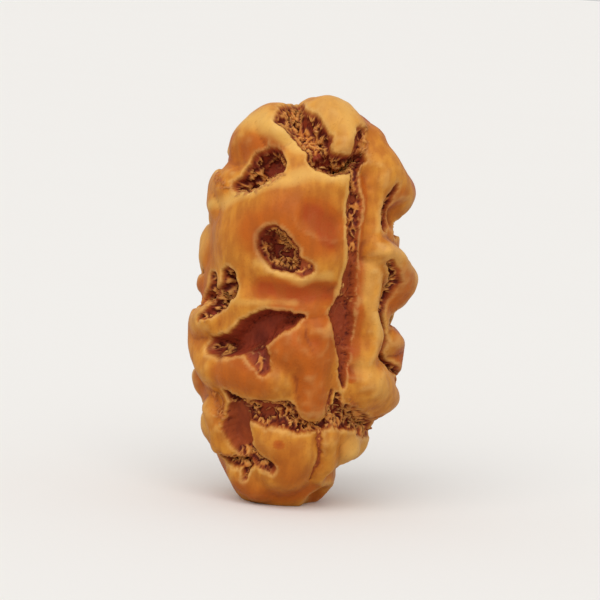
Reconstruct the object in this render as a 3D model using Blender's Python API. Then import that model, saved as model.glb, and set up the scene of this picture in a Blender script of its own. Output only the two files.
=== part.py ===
"""One mukhi rudraksha bead: a single seed stone, about 26 mm tall, standing on its narrower end.

The bead starts as an egg with a flat foot. Plump lobes are raised from it, smooth dips are sunk
into it, and pits are bitten deep between the lobes. One groove runs down the front from the
crown: it is the single face line that the bead is named for. The back is cushioned as well, with
creases between its cushions.

Every lobe, dip and pit is a stroke: a few places joined by straight runs, each place with the
radius that the stroke has there. A noise field bends the strokes, so no edge stays straight.

Places that show from the front, the side that faces -Y, are written as they look from there: how
far right of the foot's middle and how far above it. Places elsewhere are written as a bearing,
counted in degrees from the front towards +X, and a height. Strokes are in millimetres.
"""

import math

import bmesh
import bpy
import numpy as np
from mathutils import Matrix, Vector, noise

MM = 0.001

# The egg, ring by ring: height, middle of the ring right of the foot, and half its width
RINGS = (
    (-0.45, -0.35, 0.0),
    (0.0, -0.35, 2.35),
    (1.1, -0.38, 3.25),
    (3.0, -0.30, 4.35),
    (5.4, -0.15, 5.3),
    (8.5, -0.05, 5.95),
    (12.5, -0.05, 6.1),
    (16.5, -0.05, 6.0),
    (19.5, 0.10, 5.75),
    (21.8, 0.15, 5.1),
    (23.6, 0.15, 3.9),
    (24.6, 0.20, 2.6),
    (25.1, 0.20, 0.0),
)
DEPTH_OVER_WIDTH = 0.94
FRONT_VIEW_FROM_ABOVE = 6.0  # degrees by which the front view looks down
FRONT_VIEW_HEIGHT = 12.7  # of the level that the front view is centred on

# Middle of the finished bead's box, right of the foot's middle and behind it
BOX_MIDDLE = (0.26, 0.03)

# Edges of the pits
RIM_WIDTH = 0.20  # over which the surface rounds down to a pit's edge
RIM_DROP = 0.12  # that it falls there
WALL_WIDTH = 0.28  # over which a pit reaches most of its depth

NOISE_SEED = 7  # of every noise field; without it each run would draw another bead

# Bends in the strokes: (how far they wander, over what distance)
BENDS = ((0.20, 1.5), (0.07, 0.5))
BACK_BENDS = ((1.7, 3.0), (0.5, 1.1))  # on top of those, on the back
SWELL = (0.10, 2.6)  # (height, breadth) of the faint swells all over

# Uneven cushions with creases between them, on the back
CUSHION_SIZE = 4.6
CUSHION_EDGE = 0.16  # width of a cushion's rounded edge, as a share of its size
CUSHION_RISE = 0.75
CUSHION_LEVEL = 0.7  # share of a cushion's height that stays under the egg's surface

LOBE_BLEND = 5.0  # how sharply neighbouring lobes meet, per millimetre

CELLS_ACROSS_END = 60  # quads along each side of the two end caps, before thinning
TRIANGLES = 11200  # after thinning
FOOT_BAND = 0.01  # height under which the thinned surface belongs to the flat foot

COLOUR = (0.56, 0.22, 0.05, 1.0)
ROUGHNESS = 0.42


def curve_through(heights, values, height):
    """Value at a height on a smooth curve through the given rows, without overshoot."""
    height = np.clip(height, heights[0], heights[-1])
    slopes = np.diff(values) / np.diff(heights)
    below, above = slopes[:-1], slopes[1:]
    same_way = below * above > 0
    both = np.where(same_way, below + above, 1.0)
    inner = np.where(same_way, 2 * below * above / both, 0.0)
    tangents = np.concatenate([slopes[:1], inner, slopes[-1:]])
    row = np.clip(np.searchsorted(heights, height, side="right") - 1, 0, len(heights) - 2)
    gap = heights[row + 1] - heights[row]
    t = (height - heights[row]) / gap
    return (
        (2 * t**3 - 3 * t**2 + 1) * values[row]
        + (t**3 - 2 * t**2 + t) * gap * tangents[row]
        + (3 * t**2 - 2 * t**3) * values[row + 1]
        + (t**3 - t**2) * gap * tangents[row + 1]
    )


RING_HEIGHTS, RING_MIDDLES, RING_HALF_WIDTHS = np.array(RINGS).T
LOWEST, HIGHEST = RING_HEIGHTS[0], RING_HEIGHTS[-1]


def half_width(height):
    """Half the egg's width; its square follows the curve, which rounds both ends."""
    squared = curve_through(RING_HEIGHTS, RING_HALF_WIDTHS**2, height)
    return np.sqrt(np.maximum(squared, 0.0))


def middle(height):
    """Middle of the egg, right of the foot's middle."""
    return curve_through(RING_HEIGHTS, RING_MIDDLES, height)


def around(*places):
    """A stroke from (bearing, height, radius) places."""
    stroke = []
    for bearing, height, radius in places:
        turn = math.radians(bearing)
        half = float(half_width(height))
        across = float(middle(height)) + half * math.sin(turn)
        depth = -DEPTH_OVER_WIDTH * half * math.cos(turn)
        stroke.append((np.array([across, depth, height]), radius))
    return stroke


def front(*places):
    """A stroke from (right, up, radius) places, as they look from the front."""
    down = math.radians(FRONT_VIEW_FROM_ABOVE)
    stroke = []
    for right, up, radius in places:
        height = up
        for _ in range(12):
            half = max(float(half_width(height)), 0.05)
            share = max(-0.998, min(0.998, (right - float(middle(height))) / half))
            depth = -DEPTH_OVER_WIDTH * half * math.sqrt(1 - share * share)
            raised = (up - FRONT_VIEW_HEIGHT - depth * math.sin(down)) / math.cos(down)
            height = (height + min(FRONT_VIEW_HEIGHT + raised, HIGHEST - 0.001)) / 2
        across = float(middle(height)) + half * share
        stroke.append((np.array([across, depth, height]), radius))
    return stroke


# Lobes: (how far they rise, stroke)
LOBES = {
    "crown_left": (0.80, front((-3.8, 22.7, 2.1), (-2.8, 23.6, 2.1), (-1.9, 22.9, 1.3))),
    "crown_right": (1.00, front((0.9, 24.3, 2.1), (2.3, 23.4, 1.7), (1.9, 22.3, 1.1))),
    "shoulder_right": (0.68, front((3.9, 22.8, 1.6), (4.4, 21.6, 1.7))),
    "strip_right": (0.30, front((4.1, 20.4, 1.4), (4.1, 18.4, 1.3), (4.3, 17.1, 1.3))),
    "ear_right": (1.05, around((60, 21.2, 1.9), (76, 20.0, 1.9), (95, 19.9, 1.8))),
    "cheek_right": (
        1.32,
        around((50, 16.5, 1.1), (66, 15.5, 1.5), (82, 14.2, 1.9), (98, 14.5, 1.7)),
    ),
    "shoulder_left": (0.55, around((-66, 19.6, 1.7), (-85, 19.5, 1.8), (-72, 18.6, 1.4))),
    "left_ridge": (0.35, around((-82, 15.3, 1.2), (-88, 16.0, 1.1), (-95, 15.3, 1.4))),
    "left_knob": (0.28, around((-86, 13.3, 1.0), (-100, 13.2, 0.9))),
    "plateau": (
        0.55,
        front((-4.2, 16.4, 2.7), (-2.2, 17.9, 2.4), (0.4, 17.5, 2.8), (1.3, 15.4, 2.0)),
    ),
    "plateau_crest": (
        0.30,
        front((-4.4, 18.0, 1.1), (-2.0, 19.2, 1.1), (0.3, 19.9, 1.1), (2.0, 19.9, 1.0)),
    ),
    "brow": (0.20, front((-2.7, 14.6, 1.1), (-0.6, 13.9, 1.1), (1.4, 14.3, 1.1))),
    "upper_lip": (0.15, front((-3.7, 12.6, 1.3), (0.9, 12.5, 1.3))),
    "cheek_left": (
        0.75,
        around((-62, 11.4, 1.2), (-84, 10.8, 1.8), (-84, 9.8, 1.7), (-60, 8.4, 1.6)),
    ),
    "knee_left": (0.50, around((-84, 7.4, 1.2), (-98, 7.4, 1.1))),
    "belly_left": (0.60, front((-4.0, 8.0, 1.7), (-2.6, 7.7, 1.8), (-1.3, 7.7, 1.5))),
    "nose": (0.65, front((-0.2, 9.7, 1.9), (1.2, 9.2, 1.7), (1.4, 10.6, 1.3))),
    "tongue": (0.60, front((1.2, 8.0, 1.2), (1.3, 6.9, 1.1), (1.3, 6.2, 1.0))),
    "column_right": (
        0.60,
        front((4.4, 14.6, 1.2), (4.2, 12.3, 0.9), (4.6, 10.7, 1.2), (4.2, 9.3, 1.0)),
    ),
    "jaw_right": (1.05, front((4.7, 7.9, 1.8)) + around((72, 7.3, 1.8), (84, 7.0, 1.5))),
    "sliver_right": (0.82, around((78, 10.6, 1.1), (92, 10.1, 1.4), (84, 8.8, 1.6))),
    "chin": (0.75, front((-0.5, 3.6, 1.9), (0.3, 3.0, 2.0), (-0.3, 1.9, 2.0))),
    "chin_right": (0.40, front((2.45, 4.1, 0.9), (2.3, 2.0, 1.0))),
    "knob_right": (0.60, front((3.8, 3.6, 1.2))),
    "jaw_left": (0.60, front((-4.9, 5.5, 0.9), (-4.5, 4.5, 1.3), (-4.2, 3.4, 1.3))),
    "foot_left": (0.52, front((-3.0, 1.4, 1.3), (-1.9, 0.8, 1.3))),
    "crown_back": (0.60, around((150, 23.2, 1.9), (200, 23.6, 2.0))),
    "upper_back": (0.60, around((150, 19.3, 2.3), (178, 19.8, 2.4), (203, 18.8, 2.1))),
    "middle_back": (0.60, around((162, 14.3, 2.2), (190, 13.8, 2.3), (214, 14.8, 2.0))),
    "lower_back": (0.65, around((150, 9.2, 2.1), (175, 8.6, 2.2), (204, 9.2, 2.1))),
    "foot_back": (0.60, around((148, 4.0, 1.7), (180, 3.8, 2.0), (212, 3.8, 1.7))),
    "right_side_top": (0.60, around((118, 20.9, 1.9))),
    "right_side_middle": (0.65, around((118, 15.9, 1.6), (122, 12.0, 1.8))),
    "right_side_low": (0.65, around((112, 8.9, 1.5), (122, 6.9, 1.6))),
    "right_side_foot": (0.55, around((100, 3.8, 1.5))),
    "left_side_top": (0.60, around((-118, 21.8, 1.9))),
    "left_side_middle": (0.60, around((-116, 17.3, 1.9), (-122, 14.5, 1.6))),
    "left_side_low": (0.70, around((-112, 10.3, 2.1))),
    "left_side_foot": (0.55, around((-100, 4.2, 1.7))),
}

# Smooth dips: (how far they sink, stroke)
DIPS = {
    "plateau_hollow": (0.35, front((0.6, 18.1, 1.4), (1.7, 17.6, 1.3))),
    "brow_hollow": (0.24, front((-2.9, 13.3, 1.2), (-0.4, 13.0, 1.2), (1.8, 13.2, 1.2))),
    "face_line_slope": (
        0.50,
        front((3.7, 20.6, 0.9), (3.8, 17.0, 0.9), (3.9, 12.5, 1.0), (3.8, 9.0, 0.9)),
    ),
    "nose_hollow": (0.20, front((1.0, 10.3, 1.0))),
    "crown_hollow": (0.35, front((-4.2, 21.2, 1.2))),
    "ear_hollow": (0.75, front((5.5, 18.4, 1.1))),
    "knee_hollow": (0.30, front((-4.6, 6.2, 1.0))),
    "foot_corner": (1.00, front((2.1, 0.3, 1.4))),
    "knob_undercut": (0.60, around((48, 2.2, 0.8), (74, 2.1, 1.1), (100, 2.1, 1.0))),
}

# Pits: (how deep they are, stroke)
PITS = {
    "crown_cleft": (
        1.3,
        around((-160, 24.6, 0.30))
        + front((-0.9, 24.9, 0.42), (-1.2, 24.2, 0.72), (-1.1, 23.5, 0.92), (-0.3, 23.1, 1.00))
        + front((0.3, 22.5, 0.90), (0.5, 21.9, 0.65)),
    ),
    "crown_hole": (
        1.9,
        front((0.7, 21.3, 0.80), (1.5, 21.0, 0.70), (2.4, 21.1, 0.60), (3.1, 21.7, 0.40)),
    ),
    "crown_pit": (
        1.8,
        front((-2.4, 20.9, 1.05), (-2.9, 20.5, 1.10), (-3.6, 19.8, 0.80), (-4.2, 19.4, 0.50)),
    ),
    "centre_pit": (1.8, front((-1.65, 15.9, 1.12), (-1.3, 15.5, 1.12), (-0.8, 15.0, 0.70))),
    "centre_tail": (0.35, front((-0.7, 14.9, 0.50), (0.3, 14.6, 0.40))),
    "left_pit": (
        1.5,
        front((-4.4, 13.8, 0.70), (-4.3, 13.1, 0.85), (-4.8, 12.5, 0.75))
        + front((-5.2, 11.6, 0.38), (-5.5, 10.9, 0.14)),
    ),
    "left_pit_outer": (1.1, front((-5.4, 13.6, 0.40), (-5.5, 12.8, 0.55), (-5.8, 12.2, 0.40))),
    "swoosh_pit": (
        1.5,
        front((-5.0, 9.5, 0.60), (-4.0, 9.7, 0.75), (-2.9, 10.3, 1.15), (-1.7, 11.1, 0.90))
        + front((-0.6, 11.45, 0.58), (0.2, 11.7, 0.20)),
    ),
    "swoosh_branch": (0.35, front((-2.6, 9.6, 0.80), (-2.2, 9.0, 0.65), (-1.8, 8.4, 0.40))),
    "trench": (
        1.0,
        front((-4.0, 6.6, 0.35), (-3.0, 5.8, 0.65), (-1.6, 5.6, 0.85), (-0.4, 5.7, 0.85))
        + front((0.2, 5.3, 0.62), (1.0, 4.95, 0.38), (1.9, 5.1, 0.40), (2.7, 5.8, 0.72))
        + front((3.5, 5.6, 0.80), (4.3, 5.4, 0.65), (4.9, 5.1, 0.45)),
    ),
    "trench_apex": (0.9, front((2.7, 7.1, 0.15), (2.8, 6.3, 0.40))),
    "jaw_pit": (
        0.8,
        front((-3.3, 5.3, 0.95), (-3.3, 4.4, 1.05), (-2.9, 3.5, 0.85), (-2.1, 2.9, 0.60))
        + front((-1.0, 2.5, 0.32)),
    ),
    "jaw_crevice": (
        1.1,
        front((-4.1, 2.7, 0.22), (-3.4, 2.5, 0.42), (-2.5, 2.4, 0.40), (-2.4, 1.6, 0.14)),
    ),
    "face_line_top": (
        0.8,
        front((2.8, 22.8, 0.30), (2.75, 21.7, 0.42), (2.9, 20.7, 0.34), (2.95, 19.5, 0.36))
        + front((3.0, 18.6, 0.50), (3.0, 17.5, 0.50), (3.1, 16.5, 0.46), (3.15, 15.7, 0.50))
        + front((3.15, 14.8, 0.58), (3.15, 13.8, 0.66), (3.1, 13.0, 0.76)),
    ),
    "face_line_middle": (
        1.0,
        front((3.0, 12.7, 0.80), (2.75, 12.0, 0.98), (2.95, 11.2, 0.84), (3.1, 10.2, 0.66)),
    ),
    "face_line_low": (
        0.8,
        front((3.1, 10.2, 0.62), (3.1, 9.3, 0.54), (3.05, 8.5, 0.36), (3.05, 7.7, 0.14)),
    ),
    "face_line_tail": (
        0.20,
        front((2.3, 7.3, 0.10), (2.2, 6.3, 0.16), (1.8, 4.6, 0.14), (1.9, 4.0, 0.12))
        + front((1.75, 2.9, 0.20), (1.4, 1.7, 0.12)),
    ),
    "ear_slit": (
        1.4,
        front((4.85, 20.0, 0.16), (4.85, 19.2, 0.32), (4.8, 18.4, 0.48), (4.9, 17.8, 0.48)),
    ),
    "column_crevice": (
        1.3,
        front((4.7, 15.4, 0.14), (5.1, 14.9, 0.22), (5.35, 14.2, 0.32), (5.3, 13.3, 0.38))
        + front((5.1, 12.6, 0.50), (5.0, 12.0, 0.52), (5.35, 11.2, 0.30), (5.5, 10.5, 0.26))
        + front((5.3, 9.7, 0.38), (5.5, 9.1, 0.36), (5.9, 8.5, 0.28)),
    ),
    "right_gap_upper": (
        1.9,
        around((74, 17.5, 0.40), (87, 18.0, 0.88), (101, 17.7, 1.00), (111, 16.6, 0.60)),
    ),
    "right_gap_middle": (
        1.5,
        around((75, 12.0, 0.35), (87, 12.2, 0.60), (98, 11.8, 1.00), (104, 10.6, 0.70)),
    ),
    "right_gap_low": (0.15, around((80, 8.3, 0.25), (91, 8.1, 0.40), (101, 8.5, 0.45))),
    "right_gap_foot": (
        0.5,
        around((62, 5.2, 0.45), (80, 4.7, 0.42), (96, 5.1, 0.55), (112, 5.9, 0.50))
        + around((126, 5.4, 0.40)),
    ),
    "left_gap_top": (
        1.2,
        around((-76, 20.8, 0.30), (-89, 21.0, 0.55), (-102, 20.1, 0.90), (-112, 18.8, 0.70)),
    ),
    "left_gap_upper": (
        1.3,
        around((-79, 17.5, 0.20), (-92, 17.4, 0.42), (-101, 16.5, 0.80), (-104, 15.4, 0.60)),
    ),
    "left_gap_middle": (0.8, around((-81, 14.2, 0.22), (-90, 14.0, 0.30))),
    "left_gap_low": (
        1.5,
        around((-77, 12.0, 0.35), (-90, 12.4, 0.65), (-102, 12.1, 1.00), (-110, 10.9, 0.60)),
    ),
    "left_gap_knee": (0.9, around((-80, 8.3, 0.20), (-92, 8.4, 0.38), (-100, 7.5, 0.55))),
    "left_gap_foot": (0.25, around((-78, 5.6, 0.30), (-95, 5.6, 0.40), (-114, 6.2, 0.50))),
    "back_pit_top": (
        1.8,
        around((176, 23.0, 0.45), (166, 22.2, 0.85), (154, 21.4, 1.00), (150, 20.5, 0.55)),
    ),
    "back_pit_left": (
        1.8,
        around((206, 20.3, 0.50), (216, 20.9, 0.90), (228, 20.6, 1.00), (236, 19.5, 0.60)),
    ),
    "back_pit_middle": (1.9, around((178, 16.5, 0.80), (186, 16.9, 1.10), (196, 16.2, 0.75))),
    "back_pit_side": (
        1.6,
        around((136, 16.4, 0.50), (132, 15.2, 0.95), (138, 13.9, 0.75), (148, 12.6, 0.40)),
    ),
    "back_swoosh": (
        2.0,
        around((150, 9.6, 0.45), (160, 10.3, 0.85), (172, 11.3, 1.05), (186, 12.0, 0.70))
        + around((198, 12.2, 0.30)),
    ),
    "back_hole": (
        1.6,
        around((218, 14.6, 0.40), (224, 13.2, 0.90), (220, 11.9, 0.75), (212, 10.9, 0.30)),
    ),
    "back_trench": (
        1.3,
        around((132, 6.6, 0.40), (144, 6.9, 0.75), (160, 5.9, 0.65), (176, 6.6, 0.85))
        + around((194, 5.6, 0.50), (210, 6.4, 0.80), (228, 6.9, 0.55), (244, 6.0, 0.45)),
    ),
    "back_trench_branch": (1.0, around((176, 6.4, 0.60), (180, 5.0, 0.55), (190, 3.8, 0.30))),
    "back_foot_pit": (1.0, around((150, 3.6, 0.35), (156, 2.7, 0.60), (168, 2.2, 0.30))),
}


def from_stroke(points, stroke):
    """How far inside a stroke's edge each point is, and how many radii from the stroke's line."""
    inward = np.full(len(points), -np.inf)
    radii_away = np.full(len(points), np.inf)
    runs = list(zip(stroke, stroke[1:])) or [(stroke[0], stroke[0])]
    for (start, start_radius), (end, end_radius) in runs:
        run = end - start
        along = np.clip((points - start) @ run / max(run @ run, 1e-9), 0, 1)
        gap = np.linalg.norm(points - start - along[:, None] * run, axis=1)
        width = start_radius + along * (end_radius - start_radius)
        inward = np.maximum(inward, width - gap)
        radii_away = np.minimum(radii_away, gap / width)
    return inward, radii_away


def swelling(points, stroke, power):
    """1 on the stroke's line, falling smoothly to 0 at its radius."""
    _, radii_away = from_stroke(points, stroke)
    return (1 - np.minimum(radii_away, 1) ** 2) ** power


def drift(points, size, seed):
    """Smooth noise with the given breadth, three values for each point."""
    offset = Vector((17.3, 9.1, 5.7)) * seed
    return np.array([noise.noise_vector(Vector(point) / size + offset) for point in points])


def on_back(points):
    """0 on the front half, rising smoothly to 1 on the back."""
    share = np.clip((points[:, 1] + 0.3) / 3.0, 0, 1)
    return share**2 * (3 - 2 * share)


def bent(points):
    """The points as the strokes see them, moved by the noise that bends the strokes."""
    moved = points.copy()
    for seed, (reach, size) in enumerate(BENDS, start=1):
        moved += reach * drift(points, size, seed)
    back = on_back(points)[:, None]
    for seed, (reach, size) in enumerate(BACK_BENDS, start=4):
        moved += reach * back * drift(points, size, seed)
    return moved


def cushions(points):
    """Height of uneven cushions: 0 in the crease between two of them, towards 1 on each."""
    spread = []
    for point in points:
        nearest, second = noise.voronoi(Vector(point) / CUSHION_SIZE)[0][:2]
        spread.append(second - nearest)
    return 1 - np.exp(-np.array(spread) / CUSHION_EDGE)


def relief(points):
    """Height of the bead's surface over the egg at each point of the egg."""
    strokes_see = bent(points)
    raised = sum(
        np.exp(LOBE_BLEND * rise * swelling(strokes_see, stroke, 1.5)) - 1
        for rise, stroke in LOBES.values()
    )
    height = np.log1p(raised) / LOBE_BLEND
    for depth, stroke in DIPS.values():
        height -= depth * swelling(strokes_see, stroke, 2.0)
    cushioned = CUSHION_RISE * (cushions(strokes_see) - CUSHION_LEVEL)
    height += on_back(points) * cushioned
    swell, breadth = SWELL
    height += swell * drift(points, breadth, 3)[:, 0]
    sunk = np.zeros(len(points))
    for depth, stroke in PITS.values():
        inward, _ = from_stroke(strokes_see, stroke)
        on_rim = np.clip(1 + inward / RIM_WIDTH, 0, 1)
        rim = RIM_DROP * (1 - np.sqrt(1 - on_rim**2))
        wall = (depth - RIM_DROP) * np.tanh(np.clip(inward, 0, None) / WALL_WIDTH)
        sunk = np.maximum(sunk, rim + wall)
    return height - sunk


def egg_outline():
    """The egg's outline from its lowest point to its highest: arc length, radius and height."""
    swing = np.sin(np.linspace(-math.pi / 2, math.pi / 2, 2401))
    heights = (LOWEST + HIGHEST) / 2 + (HIGHEST - LOWEST) / 2 * swing
    radii = half_width(heights)
    steps = np.hypot(np.diff(radii), np.diff(heights))
    return np.concatenate([[0.0], np.cumsum(steps)]), radii, heights


def egg_mesh(cells):
    """The egg in quads of one size: two end caps of cells x cells, joined by rows of quads."""
    arcs, radii, heights = egg_outline()
    cell = 2 * math.pi * radii.max() / (4 * cells)
    cap = cell * cells / 2
    rows = round((arcs[-1] - 2 * cap) / cell)

    mesh = bmesh.new()
    for level in (0.0, 1.0):
        place = Matrix.Translation((0, 0, level))
        bmesh.ops.create_grid(mesh, x_segments=cells, y_segments=cells, size=1.0, matrix=place)
    bmesh.ops.bridge_loops(mesh, edges=[edge for edge in mesh.edges if edge.is_boundary])
    upright = [edge for edge in mesh.edges if is_upright(edge)]
    bmesh.ops.subdivide_edges(mesh, edges=upright, cuts=rows - 1, use_grid_fill=True)

    x, y, level = np.array([vertex.co for vertex in mesh.verts]).T
    reach = np.maximum(np.abs(x), np.abs(y))
    on_cap = np.where(level < 0.5, reach * cap, arcs[-1] - reach * cap)
    on_side = cap + level * (arcs[-1] - 2 * cap)
    arc = np.where(reach < 0.9999, on_cap, on_side)
    wide = np.abs(x) >= np.abs(y)
    longer, shorter = np.where(wide, x, y), np.where(wide, y, x)
    ratio = np.divide(shorter, longer, out=np.zeros(len(x)), where=reach > 0)
    turn = np.where(
        wide,
        math.pi / 4 * ratio + np.where(x < 0, math.pi, 0.0),
        math.pi / 2 - math.pi / 4 * ratio + np.where(y < 0, math.pi, 0.0),
    )
    radius = np.interp(arc, arcs, radii)
    height = np.interp(arc, arcs, heights)
    across = middle(height) + radius * np.cos(turn)
    depth = DEPTH_OVER_WIDTH * radius * np.sin(turn)
    for vertex, place in zip(mesh.verts, np.stack([across, depth, height], axis=1)):
        vertex.co = place
    bmesh.ops.recalc_face_normals(mesh, faces=mesh.faces)
    return mesh


def is_upright(edge):
    """Whether an edge joins the lower cap to the upper one."""
    first, second = edge.verts
    return abs(first.co.z - second.co.z) > 0.5


def shape_bead(mesh):
    """Moves every vertex of the egg out to the bead's surface, and flattens the foot."""
    mesh.normal_update()
    points = np.array([vertex.co for vertex in mesh.verts])
    normals = np.array([vertex.normal for vertex in mesh.verts])
    surface = points + relief(points)[:, None] * normals
    surface[:, 2] = np.maximum(surface[:, 2], 0)
    surface[:, :2] -= BOX_MIDDLE
    for vertex, place in zip(mesh.verts, surface * MM):
        vertex.co = place


def thin_bead(bead):
    """Thins the bead to its final triangles, then levels the foot, which thinning tilts a little."""
    thinning = bead.modifiers.new("thinning", "DECIMATE")
    thinning.ratio = TRIANGLES / (2 * len(bead.data.polygons))
    thinned = bead.evaluated_get(bpy.context.evaluated_depsgraph_get())
    unthinned = bead.data
    bead.data = bpy.data.meshes.new_from_object(thinned)
    bead.modifiers.clear()
    bpy.data.meshes.remove(unthinned)
    bead.data.name = "rudraksha_bead"
    for vertex in bead.data.vertices:
        if vertex.co.z < FOOT_BAND * MM:
            vertex.co.z = 0.0


def bead_material():
    """Waxed, honey-coloured seed stone."""
    material = bpy.data.materials.new("seed_stone")
    material.use_nodes = True
    shader = material.node_tree.nodes["Principled BSDF"]
    shader.inputs["Base Color"].default_value = COLOUR
    shader.inputs["Roughness"].default_value = ROUGHNESS
    shader.inputs["Metallic"].default_value = 0.0
    return material


def main():
    """Builds the bead in an empty scene."""
    for item in list(bpy.data.objects):
        bpy.data.objects.remove(item)
    noise.seed_set(NOISE_SEED)

    mesh = egg_mesh(CELLS_ACROSS_END)
    shape_bead(mesh)
    data = bpy.data.meshes.new("rudraksha_bead")
    mesh.to_mesh(data)
    mesh.free()
    data.shade_smooth()
    data.materials.append(bead_material())
    bead = bpy.data.objects.new("rudraksha_bead", data)
    bpy.context.scene.collection.objects.link(bead)
    thin_bead(bead)


main()
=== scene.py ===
"""The looks of a one mukhi rudraksha bead: a single waxed seed stone on a pale studio floor.

The bead is one piece. It is made from the same strokes as its solid: an egg with lobes raised
from it, smooth dips sunk into it and pits bitten into it, all in millimetres. On top of that
come the crumbled floors of the pits, the fibres in them, and the honey, red and maroon tints,
with painted highlights on the bulges, crests, ridges and lips and painted shade in the hollows,
the creases and the depths of the pits.

Places that show from the front, the side that faces -Y, are written as they look from there: how
far right of the foot's middle and how far above it. Places elsewhere are written as a bearing,
counted in degrees from the front towards +X, and a height.
"""

import logging
import math
from dataclasses import dataclass, field
from enum import Enum, IntEnum
from functools import cached_property

import bmesh
import bpy
import numpy as np
from mathutils import Matrix, Vector, noise


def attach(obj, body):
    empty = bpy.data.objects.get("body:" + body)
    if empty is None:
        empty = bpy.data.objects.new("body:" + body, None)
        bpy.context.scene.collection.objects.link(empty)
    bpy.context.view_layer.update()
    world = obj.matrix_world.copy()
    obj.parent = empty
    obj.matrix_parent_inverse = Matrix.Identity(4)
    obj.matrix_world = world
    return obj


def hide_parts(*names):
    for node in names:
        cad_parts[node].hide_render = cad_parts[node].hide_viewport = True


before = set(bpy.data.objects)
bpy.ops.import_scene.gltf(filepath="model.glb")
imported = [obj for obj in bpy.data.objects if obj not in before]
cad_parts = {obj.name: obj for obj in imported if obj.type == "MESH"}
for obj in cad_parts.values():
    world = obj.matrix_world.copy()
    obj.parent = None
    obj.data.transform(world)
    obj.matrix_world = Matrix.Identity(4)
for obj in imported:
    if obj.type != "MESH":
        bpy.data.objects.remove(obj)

log = logging.getLogger("rudraksha")

MM = 0.001
NODE = "rudraksha_bead"
BODY = "root"
NOISE_SEED = 7  # of every noise field; the solid has the same
FIELD_STEP = (17.3, 9.1, 5.7)  # from one noise field to the next

Colour = tuple[float, float, float]
Place = tuple[float, float, float]
Span = tuple[float, float]  # from where to where
Wave = tuple[float, float]  # how far, and over what distance
Stroke = list[tuple[np.ndarray, float]]  # place and radius, one after another
Strokes = dict[str, tuple[float, Stroke]]  # strength and stroke under each name
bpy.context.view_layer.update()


def tint(red: int, green: int, blue: int) -> Colour:
    """Turns a colour as a screen shows it, 0 to 255, into the light it stands for."""
    shares = (channel / 255 for channel in (red, green, blue))
    return tuple(s / 12.92 if s <= 0.04045 else ((s + 0.055) / 1.055) ** 2.4 for s in shares)


def smooth_step(value: np.ndarray, low: float, high: float) -> np.ndarray:
    """Rises smoothly from 0 at the low end to 1 at the high end."""
    share = np.clip((value - low) / (high - low), 0, 1)
    return share * share * (3 - 2 * share)


def curve_through(heights: np.ndarray, values: np.ndarray, height: np.ndarray) -> np.ndarray:
    """Reads a smooth curve through the given rows, without overshoot.

    Args:
        heights: Heights of the rows, rising.
        values: The curve's value at each row.
        height: Heights to read the curve at.

    Returns:
        The value at each height.
    """
    height = np.clip(height, heights[0], heights[-1])
    slopes = np.diff(values) / np.diff(heights)
    below, above = slopes[:-1], slopes[1:]
    same_way = below * above > 0
    both = np.where(same_way, below + above, 1.0)
    inner = np.where(same_way, 2 * below * above / both, 0.0)
    tangents = np.concatenate([slopes[:1], inner, slopes[-1:]])
    row = np.clip(np.searchsorted(heights, height, side="right") - 1, 0, len(heights) - 2)
    gap = heights[row + 1] - heights[row]
    t = (height - heights[row]) / gap
    return (
        (2 * t**3 - 3 * t**2 + 1) * values[row]
        + (t**3 - 2 * t**2 + t) * gap * tangents[row]
        + (3 * t**2 - 2 * t**3) * values[row + 1]
        + (t**3 - t**2) * gap * tangents[row + 1]
    )


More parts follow.
